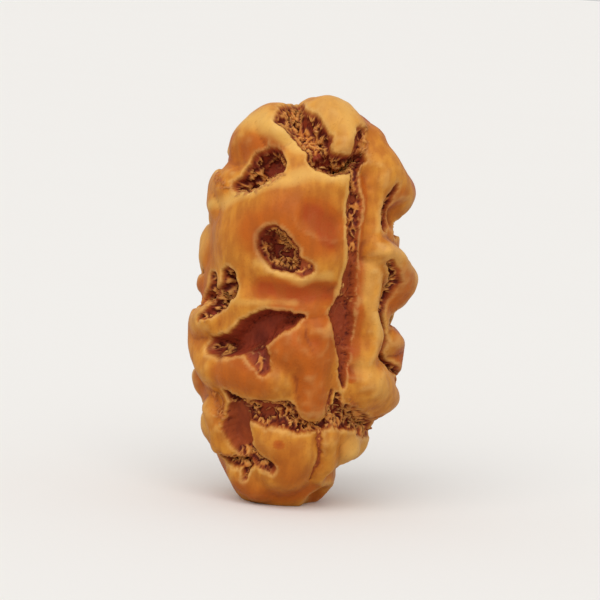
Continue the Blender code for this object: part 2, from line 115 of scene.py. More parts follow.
@dataclass(frozen=True)
class Egg:
    """The egg under the bead's relief, in millimetres.

    Attributes:
        rings: Height, middle right of the foot, and half width of each ring.
        depth_over_width: Depth of every ring as a share of its width.
        view_from_above: Degrees by which the front view looks down.
        view_height: Height of the level that the front view is centred on.
        box_middle: Middle of the finished bead's box, right of and behind the foot's middle.
        slimmest: Least half width that a front place is looked for on.
        edge: How near the egg's edge a front place may lie, as a share of its half width.
        tip_gap: How far under the egg's tip it stays.
        search_rounds: Rounds in which a front place's height is found.
        outline_steps: Points along the egg's outline.
        cap_edge: How far across an end cap its last row lies, as a share.
    """

    rings: tuple[Place, ...] = (
        (-0.45, -0.35, 0.0),
        (0.0, -0.35, 2.35),
        (1.1, -0.38, 3.25),
        (3.0, -0.30, 4.35),
        (5.4, -0.15, 5.3),
        (8.5, -0.05, 5.95),
        (12.5, -0.05, 6.1),
        (16.5, -0.05, 6.0),
        (19.5, 0.10, 5.75),
        (21.8, 0.15, 5.1),
        (23.6, 0.15, 3.9),
        (24.6, 0.20, 2.6),
        (25.1, 0.20, 0.0),
    )
    depth_over_width: float = 0.94
    view_from_above: float = 6.0
    view_height: float = 12.7
    box_middle: tuple[float, float] = (0.26, 0.03)
    slimmest: float = 0.05
    edge: float = 0.998
    tip_gap: float = 0.001
    search_rounds: int = 12
    outline_steps: int = 2401
    cap_edge: float = 0.9999

    @cached_property
    def rows(self) -> tuple[np.ndarray, np.ndarray, np.ndarray]:
        """Heights, middles and half widths of the rings."""
        heights, middles, half_widths = np.array(self.rings).T
        return heights, middles, half_widths

    def half_width(self, height: np.ndarray) -> np.ndarray:
        """Half the egg's width; the curve runs through its square, which rounds both ends."""
        heights, _, half_widths = self.rows
        return np.sqrt(np.maximum(curve_through(heights, half_widths**2, height), 0.0))

    def middle(self, height: np.ndarray) -> np.ndarray:
        """Middle of the egg at a height, right of the foot's middle."""
        heights, middles, _ = self.rows
        return curve_through(heights, middles, height)

    def around(self, *places: Place) -> Stroke:
        """Lays a stroke round the egg.

        Args:
            places: Bearing, height and radius of the stroke at each of its places.

        Returns:
            The stroke, on the egg's surface.
        """
        stroke = []
        for bearing, height, radius in places:
            turn = math.radians(bearing)
            half = float(self.half_width(height))
            across = float(self.middle(height)) + half * math.sin(turn)
            depth = -self.depth_over_width * half * math.cos(turn)
            stroke.append((np.array([across, depth, height]), radius))
        return stroke

    def front(self, *places: Place) -> Stroke:
        """Lays a stroke on the egg's front.

        Args:
            places: How far right and how far up each of its places looks from the front, and
                the stroke's radius there.

        Returns:
            The stroke, on the egg's surface.
        """
        down = math.radians(self.view_from_above)
        top = self.rings[-1][0] - self.tip_gap
        stroke = []
        for right, up, radius in places:
            height = up
            for _ in range(self.search_rounds):
                half = max(float(self.half_width(height)), self.slimmest)
                share = (right - float(self.middle(height))) / half
                share = max(-self.edge, min(self.edge, share))
                depth = -self.depth_over_width * half * math.sqrt(1 - share * share)
                raised = (up - self.view_height - depth * math.sin(down)) / math.cos(down)
                height = (height + min(self.view_height + raised, top)) / 2
            across = float(self.middle(height)) + half * share
            stroke.append((np.array([across, depth, height]), radius))
        return stroke

    def outline(self) -> tuple[np.ndarray, np.ndarray, np.ndarray]:
        """Follows the egg's outline from its lowest point up.

        Returns:
            Arc length, radius and height at each point.
        """
        lowest, highest = self.rings[0][0], self.rings[-1][0]
        swing = np.sin(np.linspace(-math.pi / 2, math.pi / 2, self.outline_steps))
        heights = (lowest + highest) / 2 + (highest - lowest) / 2 * swing
        radii = self.half_width(heights)
        steps = np.hypot(np.diff(radii), np.diff(heights))
        return np.concatenate([[0.0], np.cumsum(steps)]), radii, heights

    def mesh(self, cells: int) -> bmesh.types.BMesh:
        """Makes the egg in quads of one size: two end caps, joined by rows of quads.

        Args:
            cells: Quads along each side of an end cap.

        Returns:
            The egg's mesh, in millimetres.
        """
        arcs, radii, heights = self.outline()
        cell = 2 * math.pi * radii.max() / (4 * cells)
        cap = cell * cells / 2
        rows = round((arcs[-1] - 2 * cap) / cell)

        mesh = bmesh.new()
        for level in (0.0, 1.0):
            place = Matrix.Translation((0, 0, level))
            bmesh.ops.create_grid(mesh, x_segments=cells, y_segments=cells, size=1.0, matrix=place)
        bmesh.ops.bridge_loops(mesh, edges=[edge for edge in mesh.edges if edge.is_boundary])
        upright = [
            edge for edge in mesh.edges if abs(edge.verts[0].co.z - edge.verts[1].co.z) > 0.5
        ]
        bmesh.ops.subdivide_edges(mesh, edges=upright, cuts=rows - 1, use_grid_fill=True)

        x, y, level = np.array([vertex.co for vertex in mesh.verts]).T
        reach = np.maximum(np.abs(x), np.abs(y))
        on_cap = np.where(level < 0.5, reach * cap, arcs[-1] - reach * cap)
        on_side = cap + level * (arcs[-1] - 2 * cap)
        arc = np.where(reach < self.cap_edge, on_cap, on_side)
        wide = np.abs(x) >= np.abs(y)
        longer, shorter = np.where(wide, x, y), np.where(wide, y, x)
        ratio = np.divide(shorter, longer, out=np.zeros(len(x)), where=reach > 0)
        turn = np.where(
            wide,
            math.pi / 4 * ratio + np.where(x < 0, math.pi, 0.0),
            math.pi / 2 - math.pi / 4 * ratio + np.where(y < 0, math.pi, 0.0),
        )
        radius = np.interp(arc, arcs, radii)
        height = np.interp(arc, arcs, heights)
        across = self.middle(height) + radius * np.cos(turn)
        depth = self.depth_over_width * radius * np.sin(turn)
        for vertex, place in zip(mesh.verts, np.stack([across, depth, height], axis=1)):
            vertex.co = place
        bmesh.ops.recalc_face_normals(mesh, faces=mesh.faces)
        mesh.normal_update()
        return mesh


EGG = Egg()
front, around = EGG.front, EGG.around

# Lobes: (how far they rise, stroke)
LOBES: Strokes = {
    "crown_left": (0.80, front((-3.8, 22.7, 2.1), (-2.8, 23.6, 2.1), (-1.9, 22.9, 1.3))),
    "crown_right": (1.00, front((0.9, 24.3, 2.1), (2.3, 23.4, 1.7), (1.9, 22.3, 1.1))),
    "shoulder_right": (0.68, front((3.9, 22.8, 1.6), (4.4, 21.6, 1.7))),
    "strip_right": (0.30, front((4.1, 20.4, 1.4), (4.1, 18.4, 1.3), (4.3, 17.1, 1.3))),
    "ear_right": (1.05, around((60, 21.2, 1.9), (76, 20.0, 1.9), (95, 19.9, 1.8))),
    "cheek_right": (
        1.32,
        around((50, 16.5, 1.1), (66, 15.5, 1.5), (82, 14.2, 1.9), (98, 14.5, 1.7)),
    ),
    "shoulder_left": (0.55, around((-66, 19.6, 1.7), (-85, 19.5, 1.8), (-72, 18.6, 1.4))),
    "left_ridge": (0.35, around((-82, 15.3, 1.2), (-88, 16.0, 1.1), (-95, 15.3, 1.4))),
    "left_knob": (0.28, around((-86, 13.3, 1.0), (-100, 13.2, 0.9))),
    "plateau": (
        0.55,
        front((-4.2, 16.4, 2.7), (-2.2, 17.9, 2.4), (0.4, 17.5, 2.8), (1.3, 15.4, 2.0)),
    ),
    "plateau_crest": (
        0.30,
        front((-4.4, 18.0, 1.1), (-2.0, 19.2, 1.1), (0.3, 19.9, 1.1), (2.0, 19.9, 1.0)),
    ),
    "brow": (0.20, front((-2.7, 14.6, 1.1), (-0.6, 13.9, 1.1), (1.4, 14.3, 1.1))),
    "upper_lip": (0.15, front((-3.7, 12.6, 1.3), (0.9, 12.5, 1.3))),
    "cheek_left": (
        0.75,
        around((-62, 11.4, 1.2), (-84, 10.8, 1.8), (-84, 9.8, 1.7), (-60, 8.4, 1.6)),
    ),
    "knee_left": (0.50, around((-84, 7.4, 1.2), (-98, 7.4, 1.1))),
    "belly_left": (0.60, front((-4.0, 8.0, 1.7), (-2.6, 7.7, 1.8), (-1.3, 7.7, 1.5))),
    "nose": (0.65, front((-0.2, 9.7, 1.9), (1.2, 9.2, 1.7), (1.4, 10.6, 1.3))),
    "tongue": (0.60, front((1.2, 8.0, 1.2), (1.3, 6.9, 1.1), (1.3, 6.2, 1.0))),
    "column_right": (
        0.60,
        front((4.4, 14.6, 1.2), (4.2, 12.3, 0.9), (4.6, 10.7, 1.2), (4.2, 9.3, 1.0)),
    ),
    "jaw_right": (1.05, front((4.7, 7.9, 1.8)) + around((72, 7.3, 1.8), (84, 7.0, 1.5))),
    "sliver_right": (0.82, around((78, 10.6, 1.1), (92, 10.1, 1.4), (84, 8.8, 1.6))),
    "chin": (0.75, front((-0.5, 3.6, 1.9), (0.3, 3.0, 2.0), (-0.3, 1.9, 2.0))),
    "chin_right": (0.40, front((2.45, 4.1, 0.9), (2.3, 2.0, 1.0))),
    "knob_right": (0.60, front((3.8, 3.6, 1.2))),
    "jaw_left": (0.60, front((-4.9, 5.5, 0.9), (-4.5, 4.5, 1.3), (-4.2, 3.4, 1.3))),
    "foot_left": (0.52, front((-3.0, 1.4, 1.3), (-1.9, 0.8, 1.3))),
    "crown_back": (0.60, around((150, 23.2, 1.9), (200, 23.6, 2.0))),
    "upper_back": (0.60, around((150, 19.3, 2.3), (178, 19.8, 2.4), (203, 18.8, 2.1))),
    "middle_back": (0.60, around((162, 14.3, 2.2), (190, 13.8, 2.3), (214, 14.8, 2.0))),
    "lower_back": (0.65, around((150, 9.2, 2.1), (175, 8.6, 2.2), (204, 9.2, 2.1))),
    "foot_back": (0.60, around((148, 4.0, 1.7), (180, 3.8, 2.0), (212, 3.8, 1.7))),
    "right_side_top": (0.60, around((118, 20.9, 1.9))),
    "right_side_middle": (0.65, around((118, 15.9, 1.6), (122, 12.0, 1.8))),
    "right_side_low": (0.65, around((112, 8.9, 1.5), (122, 6.9, 1.6))),
    "right_side_foot": (0.55, around((100, 3.8, 1.5))),
    "left_side_top": (0.60, around((-118, 21.8, 1.9))),
    "left_side_middle": (0.60, around((-116, 17.3, 1.9), (-122, 14.5, 1.6))),
    "left_side_low": (0.70, around((-112, 10.3, 2.1))),
    "left_side_foot": (0.55, around((-100, 4.2, 1.7))),
}

# Smooth dips: (how far they sink, stroke)
DIPS: Strokes = {
    "plateau_hollow": (0.35, front((0.6, 18.1, 1.4), (1.7, 17.6, 1.3))),
    "brow_hollow": (0.24, front((-2.9, 13.3, 1.2), (-0.4, 13.0, 1.2), (1.8, 13.2, 1.2))),
    "face_line_slope": (
        0.50,
        front((3.7, 20.6, 0.9), (3.8, 17.0, 0.9), (3.9, 12.5, 1.0), (3.8, 9.0, 0.9)),
    ),
    "nose_hollow": (0.20, front((1.0, 10.3, 1.0))),
    "crown_hollow": (0.35, front((-4.2, 21.2, 1.2))),
    "ear_hollow": (0.75, front((5.5, 18.4, 1.1))),
    "knee_hollow": (0.30, front((-4.6, 6.2, 1.0))),
    "foot_corner": (1.00, front((2.1, 0.3, 1.4))),
    "knob_undercut": (0.60, around((48, 2.2, 0.8), (74, 2.1, 1.1), (100, 2.1, 1.0))),
}

# Pits: (how deep they are, stroke)
PITS: Strokes = {
    "crown_cleft": (
        1.3,
        around((-160, 24.6, 0.30))
        + front((-0.9, 24.9, 0.42), (-1.2, 24.2, 0.72), (-1.1, 23.5, 0.92), (-0.3, 23.1, 1.00))
        + front((0.3, 22.5, 0.90), (0.5, 21.9, 0.65)),
    ),
    "crown_hole": (
        1.9,
        front((0.7, 21.3, 0.80), (1.5, 21.0, 0.70), (2.4, 21.1, 0.60), (3.1, 21.7, 0.40)),
    ),
    "crown_pit": (
        1.8,
        front((-2.4, 20.9, 1.05), (-2.9, 20.5, 1.10), (-3.6, 19.8, 0.80), (-4.2, 19.4, 0.50)),
    ),
    "centre_pit": (1.8, front((-1.65, 15.9, 1.12), (-1.3, 15.5, 1.12), (-0.8, 15.0, 0.70))),
    "centre_tail": (0.35, front((-0.7, 14.9, 0.50), (0.3, 14.6, 0.40))),
    "left_pit": (
        1.5,
        front((-4.4, 13.8, 0.70), (-4.3, 13.1, 0.85), (-4.8, 12.5, 0.75))
        + front((-5.2, 11.6, 0.38), (-5.5, 10.9, 0.14)),
    ),
    "left_pit_outer": (1.1, front((-5.4, 13.6, 0.40), (-5.5, 12.8, 0.55), (-5.8, 12.2, 0.40))),
    "swoosh_pit": (
        1.5,
        front((-5.0, 9.5, 0.60), (-4.0, 9.7, 0.75), (-2.9, 10.3, 1.15), (-1.7, 11.1, 0.90))
        + front((-0.6, 11.45, 0.58), (0.2, 11.7, 0.20)),
    ),
    "swoosh_branch": (0.35, front((-2.6, 9.6, 0.80), (-2.2, 9.0, 0.65), (-1.8, 8.4, 0.40))),
    "trench": (
        1.0,
        front((-4.0, 6.6, 0.35), (-3.0, 5.8, 0.65), (-1.6, 5.6, 0.85), (-0.4, 5.7, 0.85))
        + front((0.2, 5.3, 0.62), (1.0, 4.95, 0.38), (1.9, 5.1, 0.40), (2.7, 5.8, 0.72))
        + front((3.5, 5.6, 0.80), (4.3, 5.4, 0.65), (4.9, 5.1, 0.45)),
    ),
    "trench_apex": (0.9, front((2.7, 7.1, 0.15), (2.8, 6.3, 0.40))),
    "jaw_pit": (
        0.8,
        front((-3.3, 5.3, 0.95), (-3.3, 4.4, 1.05), (-2.9, 3.5, 0.85), (-2.1, 2.9, 0.60))
        + front((-1.0, 2.5, 0.32)),
    ),
    "jaw_crevice": (
        1.1,
        front((-4.1, 2.7, 0.22), (-3.4, 2.5, 0.42), (-2.5, 2.4, 0.40), (-2.4, 1.6, 0.14)),
    ),
    "face_line_top": (
        0.8,
        front((2.8, 22.8, 0.30), (2.75, 21.7, 0.42), (2.9, 20.7, 0.34), (2.95, 19.5, 0.36))
        + front((3.0, 18.6, 0.50), (3.0, 17.5, 0.50), (3.1, 16.5, 0.46), (3.15, 15.7, 0.50))
        + front((3.15, 14.8, 0.58), (3.15, 13.8, 0.66), (3.1, 13.0, 0.76)),
    ),
    "face_line_middle": (
        1.0,
        front((3.0, 12.7, 0.80), (2.75, 12.0, 0.98), (2.95, 11.2, 0.84), (3.1, 10.2, 0.66)),
    ),
    "face_line_low": (
        0.8,
        front((3.1, 10.2, 0.62), (3.1, 9.3, 0.54), (3.05, 8.5, 0.36), (3.05, 7.7, 0.14)),
    ),
    "face_line_tail": (
        0.20,
        front((2.3, 7.3, 0.10), (2.2, 6.3, 0.16), (1.8, 4.6, 0.14), (1.9, 4.0, 0.12))
        + front((1.75, 2.9, 0.20), (1.4, 1.7, 0.12)),
    ),
    "ear_slit": (
        1.4,
        front((4.85, 20.0, 0.16), (4.85, 19.2, 0.32), (4.8, 18.4, 0.48), (4.9, 17.8, 0.48)),
    ),
    "column_crevice": (
        1.3,
        front((4.7, 15.4, 0.14), (5.1, 14.9, 0.22), (5.35, 14.2, 0.32), (5.3, 13.3, 0.38))
        + front((5.1, 12.6, 0.50), (5.0, 12.0, 0.52), (5.35, 11.2, 0.30), (5.5, 10.5, 0.26))
        + front((5.3, 9.7, 0.38), (5.5, 9.1, 0.36), (5.9, 8.5, 0.28)),
    ),
    "right_gap_upper": (
        1.9,
        around((74, 17.5, 0.40), (87, 18.0, 0.88), (101, 17.7, 1.00), (111, 16.6, 0.60)),
    ),
    "right_gap_middle": (
        1.5,
        around((75, 12.0, 0.35), (87, 12.2, 0.60), (98, 11.8, 1.00), (104, 10.6, 0.70)),
    ),
    "right_gap_low": (0.15, around((80, 8.3, 0.25), (91, 8.1, 0.40), (101, 8.5, 0.45))),
    "right_gap_foot": (
        0.5,
        around((62, 5.2, 0.45), (80, 4.7, 0.42), (96, 5.1, 0.55), (112, 5.9, 0.50))
        + around((126, 5.4, 0.40)),
    ),
    "left_gap_top": (
        1.2,
        around((-76, 20.8, 0.30), (-89, 21.0, 0.55), (-102, 20.1, 0.90), (-112, 18.8, 0.70)),
    ),
    "left_gap_upper": (
        1.3,
        around((-79, 17.5, 0.20), (-92, 17.4, 0.42), (-101, 16.5, 0.80), (-104, 15.4, 0.60)),
    ),
    "left_gap_middle": (0.8, around((-81, 14.2, 0.22), (-90, 14.0, 0.30))),
    "left_gap_low": (
        1.5,
        around((-77, 12.0, 0.35), (-90, 12.4, 0.65), (-102, 12.1, 1.00), (-110, 10.9, 0.60)),
    ),
    "left_gap_knee": (0.9, around((-80, 8.3, 0.20), (-92, 8.4, 0.38), (-100, 7.5, 0.55))),
    "left_gap_foot": (0.25, around((-78, 5.6, 0.30), (-95, 5.6, 0.40), (-114, 6.2, 0.50))),
    "back_pit_top": (
        1.8,
        around((176, 23.0, 0.45), (166, 22.2, 0.85), (154, 21.4, 1.00), (150, 20.5, 0.55)),
    ),
    "back_pit_left": (
        1.8,
        around((206, 20.3, 0.50), (216, 20.9, 0.90), (228, 20.6, 1.00), (236, 19.5, 0.60)),
    ),
    "back_pit_middle": (1.9, around((178, 16.5, 0.80), (186, 16.9, 1.10), (196, 16.2, 0.75))),
    "back_pit_side": (
        1.6,
        around((136, 16.4, 0.50), (132, 15.2, 0.95), (138, 13.9, 0.75), (148, 12.6, 0.40)),
    ),
    "back_swoosh": (
        2.0,
        around((150, 9.6, 0.45), (160, 10.3, 0.85), (172, 11.3, 1.05), (186, 12.0, 0.70))
        + around((198, 12.2, 0.30)),
    ),
    "back_hole": (
        1.6,
        around((218, 14.6, 0.40), (224, 13.2, 0.90), (220, 11.9, 0.75), (212, 10.9, 0.30)),
    ),
    "back_trench": (
        1.3,
        around((132, 6.6, 0.40), (144, 6.9, 0.75), (160, 5.9, 0.65), (176, 6.6, 0.85))
        + around((194, 5.6, 0.50), (210, 6.4, 0.80), (228, 6.9, 0.55), (244, 6.0, 0.45)),
    ),
    "back_trench_branch": (1.0, around((176, 6.4, 0.60), (180, 5.0, 0.55), (190, 3.8, 0.30))),
    "back_foot_pit": (1.0, around((150, 3.6, 0.35), (156, 2.7, 0.60), (168, 2.2, 0.30))),
}


class PitFloor(Enum):
    """How rough the floor of a pit is: the share of the crumbled relief that it gets."""

    SMOOTH = 0.10
    STREAKED = 0.18
    SCUFFED = 0.52
    CRUMBLED = 1.0


# Pits whose floor isn't crumbled all over
FLOORS: dict[str, PitFloor] = {
    "swoosh_pit": PitFloor.SMOOTH,
    "jaw_pit": PitFloor.SMOOTH,
    "face_line_top": PitFloor.SCUFFED,
    "face_line_tail": PitFloor.SCUFFED,
    "centre_tail": PitFloor.SCUFFED,
    "swoosh_branch": PitFloor.STREAKED,
    "face_line_middle": PitFloor.STREAKED,
    "face_line_low": PitFloor.STREAKED,
}

# Rough patches on the lobes themselves: (how rough, stroke)
FRAYS: Strokes = {
    "crown_left_foot": (0.8, front((-4.0, 18.9, 0.5), (-2.4, 19.6, 0.6), (-1.6, 20.2, 0.5))),
    "shoulder_patch": (0.8, front((-5.2, 20.0, 0.5), (-4.7, 19.2, 0.4))),
    "below_swoosh": (0.45, front((-2.4, 9.2, 0.6), (-2.0, 8.3, 0.5))),
    "swoosh_left": (0.9, front((-5.2, 9.5, 0.4), (-4.7, 9.2, 0.4))),
    "left_slope": (0.8, front((-5.6, 12.9, 0.5), (-5.2, 11.7, 0.4), (-5.2, 11.0, 0.3))),
    "trench_left": (0.8, front((-5.0, 6.6, 0.4), (-4.4, 5.9, 0.7), (-4.2, 5.0, 0.4))),
    "jaw_right_foot": (0.8, front((3.0, 6.6, 0.7), (4.3, 5.9, 0.6), (5.2, 5.9, 0.4))),
    "jaw_foot": (0.8, front((-3.9, 2.9, 0.4), (-2.6, 2.9, 0.5), (-1.2, 2.5, 0.4))),
    "line_crown": (0.9, front((3.1, 22.9, 0.4), (3.2, 21.6, 0.5), (3.0, 20.6, 0.4))),
}

# Smooth patches on the floors of the pits: (how smooth, stroke)
BARE: Strokes = {
    "centre_pit": (0.80, front((-2.3, 16.3, 0.8), (-2.1, 15.3, 0.5))),
    "crown_pit": (0.80, front((-2.5, 21.2, 0.9), (-3.2, 20.8, 0.7))),
    "crown_hole": (0.75, front((0.5, 21.8, 0.6), (1.3, 21.4, 0.5))),
    "crown_cleft": (0.30, front((-0.5, 24.0, 0.5), (0.2, 23.3, 0.5))),
    "left_pit": (0.80, front((-4.2, 13.9, 0.5), (-4.0, 13.3, 0.3))),
    "trench": (0.85, front((-1.9, 5.8, 0.6), (-1.0, 6.0, 0.5))),
    "trench_left": (0.85, front((-3.4, 5.9, 0.5), (-3.2, 5.2, 0.5))),
    "face_line": (0.75, front((3.35, 15.4, 0.5), (3.35, 13.4, 0.7))),
}

# Maroon stains that run out of the pits: (how strong, stroke)
STAINS: Strokes = {
    "swoosh_branch": (1.0, front((-2.7, 9.9, 0.9), (-2.3, 9.2, 0.75), (-1.9, 8.5, 0.5))),
    "swoosh_left": (0.8, front((-4.9, 9.3, 0.5), (-4.4, 9.2, 0.6))),
    "centre_pit": (0.5, front((-2.4, 16.2, 0.8), (-2.2, 15.4, 0.8))),
    "centre_tail": (0.35, front((-0.9, 14.8, 0.7), (0.2, 14.6, 0.5))),
    "jaw": (0.3, front((-3.4, 5.4, 1.2), (-3.4, 4.3, 1.2))),
}

# Painted highlights, pale straw, on the lit crests and edges: (how strong, stroke)
PAINTED_HIGHLIGHTS: Strokes = {
    "crown_left_arc": (
        0.75,
        front((-4.7, 22.6, 0.8), (-3.8, 23.1, 1.0), (-2.6, 23.2, 1.0), (-1.5, 22.5, 0.7))
        + front((-0.6, 21.9, 0.6)),
    ),
    "crown_right_crest": (0.60, front((0.2, 25.0, 0.9), (1.7, 24.2, 1.0), (2.2, 22.6, 0.6))),
    "crown_right_lobe": (0.40, front((0.9, 24.2, 1.6), (1.8, 23.2, 1.4))),
    "plateau_edge": (
        0.65,
        front((-5.6, 18.0, 0.4), (-4.5, 18.5, 0.6), (-3.0, 19.3, 0.6), (-0.5, 20.2, 0.7))
        + front((2.3, 20.3, 0.6)),
    ),
    "under_centre_pit": (
        0.45,
        front((-2.6, 14.8, 0.4), (-1.5, 14.4, 0.4), (0.0, 13.9, 0.4), (1.6, 14.3, 0.4)),
    ),
    "line_rim": (
        0.55,
        front((2.45, 20.4, 0.2), (2.45, 18.0, 0.2), (2.55, 15.4, 0.2), (2.3, 13.2, 0.25)),
    ),
    "upper_lip": (0.35, front((-4.4, 12.2, 0.3), (-2.4, 12.4, 0.3), (-0.3, 12.6, 0.3))),
    "column": (0.35, front((4.2, 15.2, 0.5), (4.1, 13.0, 0.4), (4.6, 10.9, 0.5))),
    "jaw_right": (0.30, front((4.0, 9.0, 0.6), (4.9, 7.8, 0.8))),
    "cheek_right": (0.35, around((58, 16.6, 0.6), (70, 15.6, 0.8))),
    "knob_right": (0.60, front((4.0, 4.0, 1.4), (3.5, 3.0, 1.2))),
}

# Deeper flushes, orange at a half and red at 1: (how strong, stroke)
FLUSHES: Strokes = {
    "plateau": (0.55, front((-2.6, 16.6, 2.0), (-0.8, 17.2, 2.9), (1.0, 17.0, 2.6))),
    "plateau_right": (1.00, front((0.2, 18.0, 1.2), (1.3, 17.5, 1.4), (1.5, 16.4, 1.0))),
    "brow": (1.00, front((-2.4, 13.3, 0.9), (0.2, 13.1, 1.1), (2.0, 13.3, 0.9))),
    "brow_under": (0.60, front((-1.0, 12.2, 1.0), (1.2, 11.8, 1.2))),
    "nose": (0.60, front((-0.4, 9.8, 2.0), (1.2, 9.9, 2.0), (1.0, 8.2, 1.6))),
    "nose_spot": (0.80, front((1.2, 10.3, 1.0))),
    "tongue": (0.55, front((1.0, 8.0, 1.6), (1.2, 6.6, 1.3))),
    "belly": (0.45, front((-4.0, 8.0, 1.6), (-2.2, 7.6, 1.8))),
    "belly_top": (0.65, front((-3.4, 8.6, 0.8), (-2.4, 8.2, 0.7))),
    "crown_left": (0.55, front((-3.9, 21.6, 0.9), (-2.7, 22.0, 0.8), (-1.8, 21.7, 0.6))),
    "crevice_slope": (0.42, around((64, 15.0, 1.2), (68, 13.4, 1.4))),
    "ear": (0.42, around((60, 19.4, 1.3), (62, 18.4, 1.2))),
    "line_side_top": (0.65, front((3.5, 20.4, 0.4), (3.5, 17.5, 0.4), (3.7, 14.8, 0.5))),
    "line_side": (
        0.85,
        front((3.7, 14.6, 0.5), (3.6, 12.0, 0.6), (3.6, 9.6, 0.6), (3.5, 8.2, 0.4)),
    ),
    "chin_spot": (0.90, front((-0.6, 4.0, 0.4))),
    "chin": (0.30, front((-0.4, 3.4, 1.6), (0.2, 2.0, 1.6))),
    "foot": (0.45, front((-2.4, 0.9, 1.2), (-0.4, 0.5, 1.2), (1.4, 0.9, 0.9))),
}


class NoiseField(IntEnum):
    """The noise fields. Each is read in a place of its own, that many steps away.

    The bends, the back bends and the twists are two fields each, and take the next number too.
    """

    BENDS = 1
    SWELL = 3
    BACK_BENDS = 4
    TWISTS = 7
    RAG = 9
    CLEARINGS = 10
    FIRST_STRANDS = 12
    SECOND_STRANDS = 13
    WANDER = 14
    THIRD_STRANDS = 16


@dataclass(frozen=True)
class Bites:
    """How the pits bite into the surface, one value for each point.

    Attributes:
        sunk: How far the point sinks.
        inside: How far it is inside the nearest pit's edge.
        depth: How deep that pit is.
        rough: How rough the floor is.
    """

    sunk: np.ndarray
    inside: np.ndarray
    depth: np.ndarray
    rough: np.ndarray


